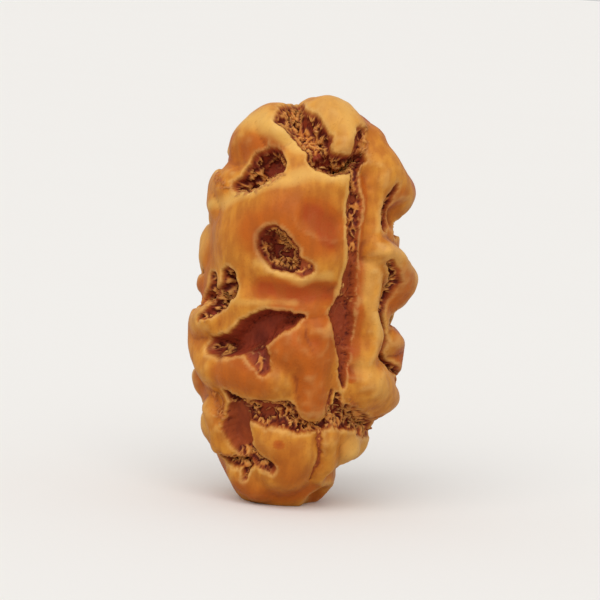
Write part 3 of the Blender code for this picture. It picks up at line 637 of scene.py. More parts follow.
@dataclass(frozen=True)
class Relief:
    """The bead's surface over the egg, in millimetres.

    Attributes:
        rim_width: Width over which the surface rounds down to a pit's edge.
        rim_drop: How far it falls there.
        wall_width: Width over which a pit reaches most of its depth.
        bends: How far the strokes wander, and over what distance.
        back_bends: The same, on top of those, on the back.
        back: Depth over which the front gives way to the back.
        swell: Height and breadth of the faint swells all over.
        cushion_size: Breadth of the cushions on the back.
        cushion_edge: Width of a cushion's rounded edge, as a share of its size.
        cushion_rise: Height of a cushion.
        cushion_level: Share of that height that stays under the egg's surface.
        lobe_blend: How sharply neighbouring lobes meet, per millimetre.
        lobe_power: How steeply a lobe falls away from its stroke.
        dip_power: How steeply a dip does.
        rag: How far the pits' edges fray.
        rag_size: Over what distance they fray.
        strand_size: Distance between the strands of grain in the pits.
        strand_rise: How far the tallest strands rise.
        strand_width: Width of a strand, as a share of the noise that draws it.
        strand_gaps: Range of the noise over which a strand breaks off.
        strand_layers: The layers of strands, each with its height as a share of the tallest.
        twists: How far the strands wander, and over what distance.
        fray_rise: How far the rough patches on the lobes rise.
        tint_power: How steeply a tint falls away from its stroke.
    """

    rim_width: float = 0.20
    rim_drop: float = 0.12
    wall_width: float = 0.28
    bends: tuple[Wave, ...] = ((0.20, 1.5), (0.07, 0.5))
    back_bends: tuple[Wave, ...] = ((1.7, 3.0), (0.5, 1.1))
    back: Span = (-0.3, 2.7)
    swell: Wave = (0.10, 2.6)
    cushion_size: float = 4.6
    cushion_edge: float = 0.16
    cushion_rise: float = 0.75
    cushion_level: float = 0.7
    lobe_blend: float = 5.0
    lobe_power: float = 1.5
    dip_power: float = 2.0
    rag: float = 0.09
    rag_size: float = 0.30
    strand_size: float = 0.66
    strand_rise: float = 0.34
    strand_width: float = 0.16
    strand_gaps: Span = (-0.28, 0.08)
    strand_layers: tuple[tuple[NoiseField, float], ...] = (
        (NoiseField.FIRST_STRANDS, 1.0),
        (NoiseField.SECOND_STRANDS, 0.9),
        (NoiseField.THIRD_STRANDS, 0.75),
    )
    twists: tuple[Wave, ...] = ((0.22, 0.8), (0.10, 0.3))
    fray_rise: float = 0.15
    tint_power: float = 1.2

    @staticmethod
    def from_stroke(points: np.ndarray, stroke: Stroke) -> tuple[np.ndarray, np.ndarray]:
        """Measures points against a stroke.

        Args:
            points: The points.
            stroke: The stroke.

        Returns:
            How far inside the stroke's edge each point is, and how many radii from its line.
        """
        inward = np.full(len(points), -np.inf)
        radii_away = np.full(len(points), np.inf)
        runs = list(zip(stroke, stroke[1:])) or [(stroke[0], stroke[0])]
        for (start, start_radius), (end, end_radius) in runs:
            run = end - start
            along = np.clip((points - start) @ run / max(run @ run, 1e-9), 0, 1)
            gap = np.linalg.norm(points - start - along[:, None] * run, axis=1)
            width = start_radius + along * (end_radius - start_radius)
            inward = np.maximum(inward, width - gap)
            radii_away = np.minimum(radii_away, gap / width)
        return inward, radii_away

    def swelling(self, points: np.ndarray, stroke: Stroke, power: float) -> np.ndarray:
        """1 on the stroke's line, falling smoothly to 0 at its radius."""
        _, radii_away = self.from_stroke(points, stroke)
        return (1 - np.minimum(radii_away, 1) ** 2) ** power

    @staticmethod
    def drift(points: np.ndarray, size: float, which: int) -> np.ndarray:
        """Smooth noise of the given breadth, three values for each point."""
        offset = Vector(FIELD_STEP) * which
        return np.array([noise.noise_vector(Vector(point) / size + offset) for point in points])

    def on_back(self, points: np.ndarray) -> np.ndarray:
        """0 on the front half, rising smoothly to 1 on the back."""
        return smooth_step(points[:, 1], *self.back)

    def bent(self, points: np.ndarray) -> np.ndarray:
        """Moves the egg's points by the noise that bends the strokes.

        Args:
            points: Points of the egg.

        Returns:
            The points as the strokes see them.
        """
        moved = points.copy()
        for which, (reach, size) in enumerate(self.bends, start=NoiseField.BENDS):
            moved += reach * self.drift(points, size, which)
        back = self.on_back(points)[:, None]
        for which, (reach, size) in enumerate(self.back_bends, start=NoiseField.BACK_BENDS):
            moved += reach * back * self.drift(points, size, which)
        return moved

    def cushions(self, points: np.ndarray) -> np.ndarray:
        """Raises uneven cushions.

        Args:
            points: The points as the strokes see them.

        Returns:
            0 in the crease between two cushions, towards 1 on each.
        """
        spread = []
        for point in points:
            nearest, second = noise.voronoi(Vector(point) / self.cushion_size)[0][:2]
            spread.append(second - nearest)
        return 1 - np.exp(-np.array(spread) / self.cushion_edge)

    def lobed(self, points: np.ndarray, seen: np.ndarray) -> np.ndarray:
        """Height of the surface before the pits are bitten into it.

        Args:
            points: Points of the egg.
            seen: The same points as the strokes see them.

        Returns:
            The height over the egg at each point.
        """
        raised = sum(
            np.exp(self.lobe_blend * rise * self.swelling(seen, stroke, self.lobe_power)) - 1
            for rise, stroke in LOBES.values()
        )
        height = np.log1p(raised) / self.lobe_blend
        for depth, stroke in DIPS.values():
            height -= depth * self.swelling(seen, stroke, self.dip_power)
        cushioned = self.cushions(seen) - self.cushion_level
        height += self.on_back(points) * self.cushion_rise * cushioned
        swell, breadth = self.swell
        return height + swell * self.drift(points, breadth, NoiseField.SWELL)[:, 0]

    def pitted(self, seen: np.ndarray) -> Bites:
        """How the pits bite into the surface.

        Args:
            seen: The egg's points as the strokes see them.

        Returns:
            The bites.
        """
        sunk = np.zeros(len(seen))
        inside = np.full(len(seen), -np.inf)
        bite = np.zeros(len(seen))
        rough = np.zeros(len(seen))
        ragged = self.rag * self.drift(seen, self.rag_size, NoiseField.RAG)[:, 0]
        for name, (depth, stroke) in PITS.items():
            inward, _ = self.from_stroke(seen, stroke)
            inward = inward + ragged
            on_rim = np.clip(1 + inward / self.rim_width, 0, 1)
            rim = self.rim_drop * (1 - np.sqrt(1 - on_rim**2))
            wall = (depth - self.rim_drop) * np.tanh(np.clip(inward, 0, None) / self.wall_width)
            floor = FLOORS.get(name, PitFloor.CRUMBLED).value
            rough = np.where(rim + wall > sunk, floor, rough)
            sunk = np.maximum(sunk, rim + wall)
            bite = np.where(inward > inside, depth, bite)
            inside = np.maximum(inside, inward)
        return Bites(sunk, inside, bite, rough)

    def strands(self, places: np.ndarray) -> np.ndarray:
        """Height of the twisted strands of grain in the pits.

        Args:
            places: Places on the bead's surface.

        Returns:
            The height at each place, 0 to 1.
        """
        twisted = places.copy()
        for which, (reach, size) in enumerate(self.twists, start=NoiseField.TWISTS):
            twisted += reach * self.drift(places, size, which)
        height = np.zeros(len(places))
        for layer, share in self.strand_layers:
            wave = self.drift(twisted, self.strand_size, layer)
            strand = 1 - np.minimum(np.abs(wave[:, 0]) / self.strand_width, 1) ** 2
            whole = smooth_step(wave[:, 1], *self.strand_gaps)
            height = np.maximum(height, share * strand * whole)
        return height

    def tinted(self, seen: np.ndarray, tints: Strokes) -> np.ndarray:
        """Lays soft strokes on the surface.

        Args:
            seen: The egg's points as the strokes see them.
            tints: The strokes, each with its strength.

        Returns:
            The strength of the strongest stroke at each point.
        """
        shares = [
            strength * self.swelling(seen, stroke, self.tint_power)
            for strength, stroke in tints.values()
        ]
        return np.max(shares, axis=0)


def relaxed(places: np.ndarray, edges: np.ndarray, rounds: int) -> np.ndarray:
    """Averages each vertex with its neighbours.

    Args:
        places: Place of each vertex, one row each.
        edges: The two vertices of each edge.
        rounds: How often to average.

    Returns:
        The averaged rows.
    """
    first, second = edges.T
    total = len(places)
    shared = np.bincount(edges.ravel(), minlength=total)[:, None]
    for _ in range(rounds):
        columns = [
            np.bincount(first, column[second], total) + np.bincount(second, column[first], total)
            for column in places.T
        ]
        places = (places + np.stack(columns, axis=1) / shared) / 2
    return places


class Bench:
    """Lays out and joins the nodes of one material or node group.

    A Mix node has sockets of its own for each kind of value: its colours go in at 6 and 7 and
    come out at 2, and its plain numbers go in at 2 and 3 and come out at 0.
    """

    def __init__(self, tree: bpy.types.NodeTree) -> None:
        """Takes the tree to work on."""
        self.tree = tree

    def add(self, kind: str, **settings: object) -> bpy.types.Node:
        """Adds a node.

        Args:
            kind: The node's type.
            settings: Properties to set on it.

        Returns:
            The node.
        """
        node = self.tree.nodes.new(kind)
        for name, value in settings.items():
            setattr(node, name, value)
        return node

    def feed(self, socket: bpy.types.NodeSocket, value: object) -> None:
        """Joins an output to a socket, or sets the socket to a plain value.

        Args:
            socket: The socket to feed.
            value: An output, a number or a colour.
        """
        if isinstance(value, bpy.types.NodeSocket):
            self.tree.links.new(value, socket)
        elif isinstance(value, tuple) and len(value) == 3 and socket.type == "RGBA":
            socket.default_value = (*value, 1.0)
        else:
            socket.default_value = value

    def maths(self, operation: str, *values: object) -> bpy.types.NodeSocket:
        """Works out one sum.

        Args:
            operation: What the node does with the values.
            values: Outputs or numbers.

        Returns:
            The result.
        """
        node = self.add("ShaderNodeMath", operation=operation)
        for socket, value in zip(node.inputs, values):
            self.feed(socket, value)
        return node.outputs[0]

    def span(self, value: object, low: float, high: float) -> bpy.types.NodeSocket:
        """Rises smoothly from 0 at the low end to 1 at the high end.

        Args:
            value: What to read.
            low: Value at which it starts to rise.
            high: Value at which it is full.

        Returns:
            The share.
        """
        node = self.add("ShaderNodeMapRange", interpolation_type="SMOOTHSTEP")
        for name, entry in (("Value", value), ("From Min", low), ("From Max", high)):
            self.feed(node.inputs[name], entry)
        return node.outputs[0]

    def mix(self, share: object, first: object, second: object) -> bpy.types.NodeSocket:
        """Goes from one colour to another.

        Args:
            share: How much of the second colour there is.
            first: The first colour.
            second: The second colour.

        Returns:
            The mixed colour.
        """
        node = self.add("ShaderNodeMix", data_type="RGBA")
        self.feed(node.inputs[0], share)
        self.feed(node.inputs[6], first)
        self.feed(node.inputs[7], second)
        return node.outputs[2]

    def blend(self, share: object, first: float, second: float) -> bpy.types.NodeSocket:
        """Goes from one number to another.

        Args:
            share: How much of the second number there is.
            first: The first number.
            second: The second number.

        Returns:
            The number in between.
        """
        node = self.add("ShaderNodeMix", data_type="FLOAT")
        self.feed(node.inputs[0], share)
        self.feed(node.inputs[2], first)
        self.feed(node.inputs[3], second)
        return node.outputs[0]

    def mark(self, name: str) -> bpy.types.NodeSocket:
        """Reads a value that the mesh carries at each vertex."""
        node = self.add("ShaderNodeAttribute", attribute_name=name)
        return node.outputs["Fac"]

    def speckle(self, place: object, size: float, detail: float = 2.0) -> bpy.types.NodeSocket:
        """Lays noise over a surface.

        Args:
            place: Where each point of the surface is.
            size: Breadth of the noise, in the units of the place.
            detail: How fine it goes.

        Returns:
            The noise, 0 to 1.
        """
        node = self.add("ShaderNodeTexNoise")
        self.feed(node.inputs["Vector"], place)
        self.feed(node.inputs["Scale"], 1 / size)
        self.feed(node.inputs["Detail"], detail)
        return node.outputs["Fac"]

    def bump(self, shader: bpy.types.Node, height: object, rise: float) -> None:
        """Gives a shader a fine relief.

        Args:
            shader: The shader.
            height: Height of the relief, as a share of its rise.
            rise: How far it rises, in millimetres.
        """
        node = self.add("ShaderNodeBump")
        node.inputs["Distance"].default_value = rise * MM
        self.feed(node.inputs["Height"], height)
        self.feed(shader.inputs["Normal"], node.outputs[0])


@dataclass(frozen=True)
class SeedGrain:
    """The grain that the seed stone and its fibres share, in millimetres.

    Attributes:
        name: Name of its node group.
        usual_blotch: Breadth of a blotch unless a material has its own.
        usual_grain: The same for a fleck.
        blotch_detail: How fine the blotches' edges go.
        blotch_distortion: How far the blotches are pulled out of shape.
        fleck_detail: How fine the flecks' edges go.
        streak_size: Breadth of an upright streak.
        streak_detail: How fine its edges go.
        streak_squeeze: How the streaks are drawn out upwards.
        streaks: Range of the noise over which a streak sets in.
        blotches: The same for a blotch.
        flecks: The same for a fleck.
    """

    name: str = "seed_grain"
    usual_blotch: float = 2.0
    usual_grain: float = 0.16
    blotch_detail: float = 3.0
    blotch_distortion: float = 0.6
    fleck_detail: float = 2.0
    streak_size: float = 0.55
    streak_detail: float = 3.0
    streak_squeeze: Place = (1.0, 1.0, 0.45)
    streaks: Span = (0.34, 0.66)
    blotches: Span = (0.32, 0.68)
    flecks: Span = (0.60, 0.74)

    def group(self) -> bpy.types.NodeTree:
        """Makes the node group, or finds it once it is made.

        Returns:
            A group with a blotch size and a grain size as its inputs. It puts out masks for
            blotches, upright streaks and flecks, and a grain height.
        """
        group = bpy.data.node_groups.get(self.name)
        if group:
            return group
        group = bpy.data.node_groups.new(self.name, "ShaderNodeTree")
        for name, usual in (("Blotch Size", self.usual_blotch), ("Grain Size", self.usual_grain)):
            socket = group.interface.new_socket(
                name, in_out="INPUT", socket_type="NodeSocketFloat"
            )
            socket.default_value = usual
        for name in ("Blotch", "Streak", "Fleck", "Height"):
            group.interface.new_socket(name, in_out="OUTPUT", socket_type="NodeSocketFloat")
        bench = Bench(group)
        given = bench.add("NodeGroupInput")
        result = bench.add("NodeGroupOutput")
        place = bench.add("ShaderNodeVectorMath", operation="SCALE")
        bench.feed(place.inputs[0], bench.add("ShaderNodeTexCoord").outputs["Object"])
        place.inputs["Scale"].default_value = 1 / MM

        blotch = bench.add("ShaderNodeTexNoise")
        blotch.inputs["Detail"].default_value = self.blotch_detail
        blotch.inputs["Distortion"].default_value = self.blotch_distortion
        fleck = bench.add("ShaderNodeTexNoise")
        fleck.inputs["Detail"].default_value = self.fleck_detail
        for node, size in ((blotch, "Blotch Size"), (fleck, "Grain Size")):
            bench.feed(node.inputs["Vector"], place.outputs[0])
            bench.feed(node.inputs["Scale"], bench.maths("DIVIDE", 1.0, given.outputs[size]))
        upright = bench.add("ShaderNodeVectorMath", operation="MULTIPLY")
        bench.feed(upright.inputs[0], place.outputs[0])
        upright.inputs[1].default_value = self.streak_squeeze
        streak = bench.speckle(upright.outputs[0], self.streak_size, self.streak_detail)
        bench.feed(result.inputs["Streak"], bench.span(streak, *self.streaks))
        bench.feed(result.inputs["Blotch"], bench.span(blotch.outputs["Fac"], *self.blotches))
        bench.feed(result.inputs["Fleck"], bench.span(fleck.outputs["Fac"], *self.flecks))
        bench.feed(result.inputs["Height"], fleck.outputs["Fac"])
        return group

    def placed_in(self, bench: Bench, blotch_size: float, grain_size: float) -> bpy.types.Node:
        """Places the group in a material with sizes of its own.

        Args:
            bench: The material's bench.
            blotch_size: Breadth of a blotch.
            grain_size: Breadth of a fleck.

        Returns:
            The group's node.
        """
        node = bench.add("ShaderNodeGroup", node_tree=self.group())
        node.inputs["Blotch Size"].default_value = blotch_size
        node.inputs["Grain Size"].default_value = grain_size
        return node


GRAIN = SeedGrain()


@dataclass(frozen=True)
class SeedStoneFinish:
    """Waxed seed stone: honey lobes, red flushes, maroon pits with golden crumbs, painted light
    and shade.

    Attributes:
        honey: The bulges of the lobes, lighter as painted light.
        amber: Painted shade in the hollows between them.
        orange: A half flush.
        bark: The streaks.
        straw: Painted highlight on the crests, and the pale tone that wanders on the sides.
        flush: A full flush.
        rim: Painted highlight on the lips of the pits, the fine ridges and the tips of the
            strands.
        crease: Painted shade in the fine creases, and the dark flecks.
        russet: The floor of a shallow pit.
        maroon: The floor of a deep one, partly its own colour and partly painted shade.
        floor_shade_and_streak: Painted shade in its darkest hollows, and its dark streaks.
        crumb: The crumbs on the floors.
        polish: Roughness of the lobes.
        dullness: Roughness of the pits.
        gloss: Specular level all over.
        blotch_size: Breadth of a blotch, in millimetres.
        grain_size: Breadth of a fleck, in millimetres.
        grain_height: Height of the grain's fine relief, in millimetres.
        wrinkle: How far the streaks sink into that relief.
        blotch_lift: How far a blotch shifts a lobe from amber to honey.
        honeyed: Range over which amber turns to honey.
        blotch_flush: How far a blotch deepens a flush.
        half_flush: Range over which the skin turns orange.
        full_flush: Range over which it turns red.
        streak_share: How strongly the streaks show.
        lip_blotch: How much the painted highlight on the lips follows the blotches.
        lip_share: How strongly that highlight shows without one.
        ridge_highlight_share: How strongly the painted highlight on the fine ridges shows.
        crease_shade_share: How strongly the painted shade in the creases shows.
        fleck_share: How strongly the flecks show.
        streak_hollow: How far a streak darkens a floor.
        golden: Strand height over which the floor turns golden.
        golden_share: How strongly it does.
        tip_share: How strongly the painted highlight on the tips of the strands shows.
    """

    honey: Colour = tint(216, 144, 52)
    amber: Colour = tint(206, 124, 40)
    orange: Colour = tint(192, 98, 26)
    bark: Colour = tint(166, 86, 28)
    straw: Colour = tint(236, 186, 98)
    flush: Colour = tint(172, 72, 22)
    rim: Colour = tint(246, 202, 124)
    crease: Colour = tint(120, 46, 20)
    russet: Colour = tint(170, 82, 38)
    maroon: Colour = tint(158, 64, 38)
    floor_shade_and_streak: Colour = tint(100, 34, 22)
    crumb: Colour = tint(228, 146, 64)
    polish: float = 0.45
    dullness: float = 0.65
    gloss: float = 0.16
    blotch_size: float = 1.9
    grain_size: float = 0.14
    grain_height: float = 0.022
    wrinkle: float = -0.4
    blotch_lift: float = 0.5
    honeyed: Span = (0.1, 1.1)
    blotch_flush: float = 0.12
    half_flush: Span = (0.05, 0.55)
    full_flush: Span = (0.55, 1.05)
    streak_share: float = 0.48
    lip_blotch: float = 0.45
    lip_share: float = 0.1
    ridge_highlight_share: float = 0.3
    crease_shade_share: float = 0.55
    fleck_share: float = 0.16
    streak_hollow: float = 0.35
    golden: Span = (0.28, 0.75)
    golden_share: float = 0.85
    tip_share: float = 0.4

    def skin(self, bench: Bench, grain: bpy.types.Node) -> bpy.types.NodeSocket:
        """Colours the lobes, with painted light and shade.

        Args:
            bench: The material's bench.
            grain: The shared grain.

        Returns:
            The colour.
        """
        blotch, streak = grain.outputs["Blotch"], grain.outputs["Streak"]
        lift = bench.maths("MULTIPLY", blotch, self.blotch_lift)
        # Honey on the bulges, amber in the hollows between lobes: painted light and shade, shifted
        # by the blotches.
        top = bench.maths("ADD", bench.mark("bulge_light"), lift)
        skin = bench.mix(bench.span(top, *self.honeyed), self.amber, self.honey)
        flushed = bench.maths("MULTIPLY_ADD", blotch, self.blotch_flush, bench.mark("flush"))
        skin = bench.mix(bench.span(flushed, *self.half_flush), skin, self.orange)
        skin = bench.mix(bench.span(flushed, *self.full_flush), skin, self.flush)
        skin = bench.mix(bench.maths("MULTIPLY", streak, self.streak_share), skin, self.bark)
        # Painted highlight on the crests, with pale tone on the sides.
        skin = bench.mix(bench.mark("highlight_and_tone"), skin, self.straw)
        pale = bench.maths("MULTIPLY_ADD", blotch, self.lip_blotch, self.lip_share)
        # Painted highlight along the lips of the pits.
        lip_highlight = bench.maths("MULTIPLY", bench.mark("lip_highlight"), pale)
        # Painted highlight on the fine ridges.
        ridge_highlight = bench.maths("MULTIPLY", bench.mark("ridge_highlight"), self.ridge_highlight_share)
        skin = bench.mix(bench.maths("MAXIMUM", lip_highlight, ridge_highlight), skin, self.rim)
        # Painted shade in the fine creases.
        crease_shade = bench.maths("MULTIPLY", bench.mark("crease"), self.crease_shade_share)
        skin = bench.mix(crease_shade, skin, self.crease)
        flecked = bench.maths("MULTIPLY", grain.outputs["Fleck"], self.fleck_share)
        return bench.mix(flecked, skin, self.crease)

    def floor(self, bench: Bench, grain: bpy.types.Node) -> bpy.types.NodeSocket:
        """Colours the floors of the pits, with painted shade in their depths and creases.

        Args:
            bench: The material's bench.
            grain: The shared grain.

        Returns:
            The colour.
        """
        streak, crumb = grain.outputs["Streak"], bench.mark("crumb")
        # Russet to maroon with depth: partly the pits' own colour, partly painted shade.
        floor = bench.mix(bench.mark("depth"), self.russet, self.maroon)
        # Painted shade in the floor's fine creases, with the dark streaks and stains.
        deep = bench.maths("MULTIPLY_ADD", streak, self.streak_hollow, bench.mark("crease"))
        floor = bench.mix(deep, floor, self.floor_shade_and_streak)
        golden = bench.maths("MULTIPLY", bench.span(crumb, *self.golden), self.golden_share)
        floor = bench.mix(golden, floor, self.crumb)
        # Painted highlight on the tips of the strands.
        raised = bench.maths("MULTIPLY", bench.mark("ridge_highlight"), crumb)
        return bench.mix(bench.maths("MULTIPLY", raised, self.tip_share), floor, self.rim)

    def material(self) -> bpy.types.Material:
        """Builds the material from the marks on the mesh and the shared grain.

        Returns:
            The material.
        """
        material = bpy.data.materials.new("waxed_seed_stone")
        material.use_nodes = True
        bench = Bench(material.node_tree)
        shader = material.node_tree.nodes["Principled BSDF"]
        grain = GRAIN.placed_in(bench, self.blotch_size, self.grain_size)
        inside = bench.mark("inside")
        # The pits' maroon floors: partly their own colour, partly painted shade.
        colour = bench.mix(inside, self.skin(bench, grain), self.floor(bench, grain))
        bench.feed(shader.inputs["Base Color"], colour)

        dull = bench.maths("MAXIMUM", inside, grain.outputs["Fleck"])
        bench.feed(shader.inputs["Roughness"], bench.blend(dull, self.polish, self.dullness))
        shader.inputs["Specular IOR Level"].default_value = self.gloss

        wrinkle = bench.maths("MULTIPLY", grain.outputs["Streak"], self.wrinkle)
        height = bench.maths("ADD", grain.outputs["Height"], wrinkle)
        bench.bump(shader, height, self.grain_height)
        return material


@dataclass(frozen=True)
class FibreFinish:
    """Dry fibres, straw at the tip and brown at the root.

    Attributes:
        root: Colour at the root.
        straw: Colour at the tip.
        roughness: Their roughness.
        blotch_size: Breadth of a blotch, in millimetres.
        grain_size: Breadth of a fleck, in millimetres.
        grain_height: Height of the grain's fine relief, in millimetres.
        mottling: Range of the blotches over which a fibre turns to straw.
    """

    root: Colour = tint(150, 64, 26)
    straw: Colour = tint(244, 184, 98)
    roughness: float = 0.7
    blotch_size: float = 0.7
    grain_size: float = 0.06
    grain_height: float = 0.01
    mottling: Span = (-0.4, 0.8)

    def material(self) -> bpy.types.Material:
        """Builds the material from the mark along each fibre and the shared grain.

        Returns:
            The material.
        """
        material = bpy.data.materials.new("dry_fibre")
        material.use_nodes = True
        bench = Bench(material.node_tree)
        shader = material.node_tree.nodes["Principled BSDF"]
        grain = GRAIN.placed_in(bench, self.blotch_size, self.grain_size)
        mottled = bench.span(grain.outputs["Blotch"], *self.mottling)
        share = bench.maths("MULTIPLY", bench.mark("along"), mottled)
        bench.feed(shader.inputs["Base Color"], bench.mix(share, self.root, self.straw))
        shader.inputs["Roughness"].default_value = self.roughness
        bench.bump(shader, grain.outputs["Height"], self.grain_height)
        return material


@dataclass(frozen=True)
class FloorFinish:
    """Matt white studio floor, which throws back less light than it shows.

    Attributes:
        colour: The colour that it shows.
        speck: The colour of its specks.
        thrown_back: The colour of the light that it throws on the bead.
        speck_size: Breadth of a speck, in metres.
        speck_share: How strongly the specks show.
        roughness: Its roughness.
        gloss: Its specular level.
    """

    colour: Colour = tint(243, 241, 238)
    speck: Colour = tint(225, 221, 212)
    thrown_back: Colour = tint(205, 201, 194)
    speck_size: float = 0.05
    speck_share: float = 0.05
    roughness: float = 0.9
    gloss: float = 0.2

    def material(self) -> bpy.types.Material:
        """Builds the material.

        Returns:
            The material.
        """
        material = bpy.data.materials.new("studio_floor")
        material.use_nodes = True
        bench = Bench(material.node_tree)
        shader = material.node_tree.nodes["Principled BSDF"]
        place = bench.add("ShaderNodeTexCoord").outputs["Object"]
        tone = bench.maths("MULTIPLY", bench.speckle(place, self.speck_size), self.speck_share)
        shown = bench.mix(tone, self.colour, self.speck)
        seen = bench.add("ShaderNodeLightPath").outputs["Is Camera Ray"]
        bench.feed(shader.inputs["Base Color"], bench.mix(seen, self.thrown_back, shown))
        shader.inputs["Roughness"].default_value = self.roughness
        shader.inputs["Specular IOR Level"].default_value = self.gloss
        return material


def dressed(piece: bpy.types.Object) -> bpy.types.Object:
    """Ties a piece to the bead's body, and hides the imported part of the bead's node.

    Args:
        piece: The piece.

    Returns:
        The same piece.
    """
    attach(piece, BODY)
    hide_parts(NODE)
    return piece


def placed(name: str, mesh: bpy.types.Mesh) -> bpy.types.Object:
    """Puts a mesh in the scene.

    Args:
        name: Name of the piece.
        mesh: Its mesh.

    Returns:
        The piece.
    """
    piece = bpy.data.objects.new(name, mesh)
    bpy.context.scene.collection.objects.link(piece)
    return piece


def with_marks(mesh: bpy.types.Mesh, marks: dict[str, np.ndarray]) -> None:
    """Stores marks on a mesh for its finish to read.

    Args:
        mesh: The mesh.
        marks: One value for each vertex under each name.
    """
    for name, values in marks.items():
        layer = mesh.attributes.new(name, "FLOAT", "POINT")
        layer.data.foreach_set("value", np.asarray(values, np.float32))


@dataclass(frozen=True)
class Marking:
    """Where the marks that the finish reads set in and where they are full, in millimetres.

    Attributes:
        floor: Distance inside a pit's edge over which its floor's colours take over.
        fray: Strand height over which they take over a rough patch.
        fray_share: How strongly they do.
        fray_crumb: How golden its strands are beside those in the pits.
        ridge_rounds: Rounds of averaging that fine ridges and creases are measured against.
        bulge_rounds: Rounds that the bulges of the lobes are measured against.
        ridge_highlight: Height over the averaged surface from which the fine ridges get their
            painted highlight.
        crease: Depth under it over which a fine crease gets its painted shade.
        bulge_light: Height over it from which a bulge gets its painted light.
        aside: Depth over which the wandering tints set in on the sides.
        wander_size: Breadth of the wandering tints.
        wander_crest: Range of the noise over which the pale tone on the sides sets in.
        wander_crest_share: How strong it is.
        wander_flush: Range of the noise over which a wandering flush sets in.
        wander_flush_share: How strong it is.
        lip_outside: Distance inside a pit's edge over which the painted highlight on its lips sets
            in.
        lip_inside: Distance outside it over which that highlight ends.
        lip_depth: Pit depth over which the highlight on the lips shows.
        depth_of_pit: How much the depth mark follows the pit's depth.
        depth_of_point: How much it follows the point's own depth.
        depth: Depth over which a floor turns from russet to maroon, partly as painted shade.
        stain_floor: How strongly a stain takes the floor's colours.
        stain_crease: How far it darkens them.
    """

    floor: Span = (-0.03, 0.06)
    fray: Span = (0.2, 0.6)
    fray_share: float = 0.9
    fray_crumb: float = 0.8
    ridge_rounds: int = 3
    bulge_rounds: int = 60
    ridge_highlight: Span = (0.006, 0.028)
    crease: Span = (0.006, 0.035)
    bulge_light: Span = (-0.15, 0.35)
    aside: Span = (-3.5, 0.5)
    wander_size: float = 3.2
    wander_crest: Span = (0.0, 0.5)
    wander_crest_share: float = 0.5
    wander_flush: Span = (-0.05, 0.5)
    wander_flush_share: float = 0.9
    lip_outside: Span = (-0.20, -0.08)
    lip_inside: Span = (-0.02, 0.05)
    lip_depth: Span = (0.5, 1.3)
    depth_of_pit: float = 0.7
    depth_of_point: float = 0.3
    depth: Span = (0.5, 1.4)
    stain_floor: float = 0.9
    stain_crease: float = 0.55

    def shape_marks(self, mesh: bpy.types.Mesh, places: np.ndarray) -> dict[str, np.ndarray]:
        """Marks the ridges, creases and bulges that get painted light and shade.

        Args:
            mesh: The finished surface.
            places: Its vertices, in millimetres.

        Returns:
            One value for each vertex under each name.
        """
        edges = np.zeros(len(mesh.edges) * 2, np.int64)
        mesh.edges.foreach_get("vertices", edges)
        edges = edges.reshape(-1, 2)
        facing = np.zeros(len(places) * 3, np.float32)
        mesh.vertex_normals.foreach_get("vector", facing)
        facing = facing.reshape(-1, 3)
        fine = ((places - relaxed(places, edges, self.ridge_rounds)) * facing).sum(axis=1)
        bulge = ((places - relaxed(places, edges, self.bulge_rounds)) * facing).sum(axis=1)
        return {
            # Painted highlight on the fine ridges.
            "ridge_highlight": smooth_step(fine, *self.ridge_highlight),
            # Painted shade in the fine creases.
            "crease": smooth_step(-fine, *self.crease),
            # Painted light on the bulges, painted shade in the hollows between them.
            "bulge_light": smooth_step(bulge, *self.bulge_light),
        }

    def tint_marks(
        self, places: np.ndarray, seen: np.ndarray, relief: Relief
    ) -> dict[str, np.ndarray]:
        """Marks the crests, painted highlight with pale tone on the sides, and the flushes.

        Args:
            places: The surface's vertices, in millimetres.
            seen: The egg's points as the strokes see them.
            relief: The relief that the strokes lie on.

        Returns:
            One value for each vertex under each name.
        """
        aside = smooth_step(places[:, 1], *self.aside)
        wander = relief.drift(seen, self.wander_size, NoiseField.WANDER)
        highlight_and_tone = self.wander_crest_share * aside * smooth_step(wander[:, 0], *self.wander_crest)
        flush = self.wander_flush_share * aside * smooth_step(wander[:, 1], *self.wander_flush)
        return {
            # The crests: painted highlights from the strokes, and pale tone wandering on the
            # sides.
            "highlight_and_tone": np.maximum(relief.tinted(seen, PAINTED_HIGHLIGHTS), highlight_and_tone),
            "flush": np.maximum(relief.tinted(seen, FLUSHES), flush),
        }

    def pit_marks(
        self, bites: Bites, strand: np.ndarray, frayed: np.ndarray
    ) -> dict[str, np.ndarray]:
        """Marks the pits' floors, crumbs, lips with their painted highlight, and depth.

        Args:
            bites: How the pits bite.
            strand: Height of the strands in the pits.
            frayed: Height of the strands in the rough patches.

        Returns:
            One value for each vertex under each name.
        """
        on_floor = smooth_step(bites.inside, *self.floor)
        on_fray = self.fray_share * smooth_step(frayed, *self.fray)
        # Painted highlight along the lips of the pits, just outside their edges.
        lip_highlight = smooth_step(bites.inside, *self.lip_outside)
        lip_highlight = lip_highlight * smooth_step(-bites.inside, *self.lip_inside)
        # Deeper pits and points are darker: partly the pits' own colour, partly painted shade.
        depth = self.depth_of_pit * bites.depth + self.depth_of_point * bites.sunk
        return {
            "inside": np.maximum(on_floor, on_fray),
            "crumb": np.maximum(strand, self.fray_crumb * frayed),
            "lip_highlight": lip_highlight * smooth_step(bites.depth, *self.lip_depth),
            "depth": smooth_step(depth, *self.depth),
        }

    def stained(self, marks: dict[str, np.ndarray], stain: np.ndarray) -> dict[str, np.ndarray]:
        """Keeps the painted highlight on the lips off the flushes, and lays the stains over the
        other marks.

        Args:
            marks: All the marks.
            stain: Strength of the stains at each vertex.

        Returns:
            The marks with the stains on them.
        """
        return marks | {
            "lip_highlight": marks["lip_highlight"] * (1 - marks["flush"]),
            "depth": np.maximum(marks["depth"], stain),
            "inside": np.maximum(marks["inside"], self.stain_floor * stain),
            # The crease mark, painted shade, is darkened further where the stains lie.
            "crease": np.maximum(marks["crease"], self.stain_crease * stain),
        }


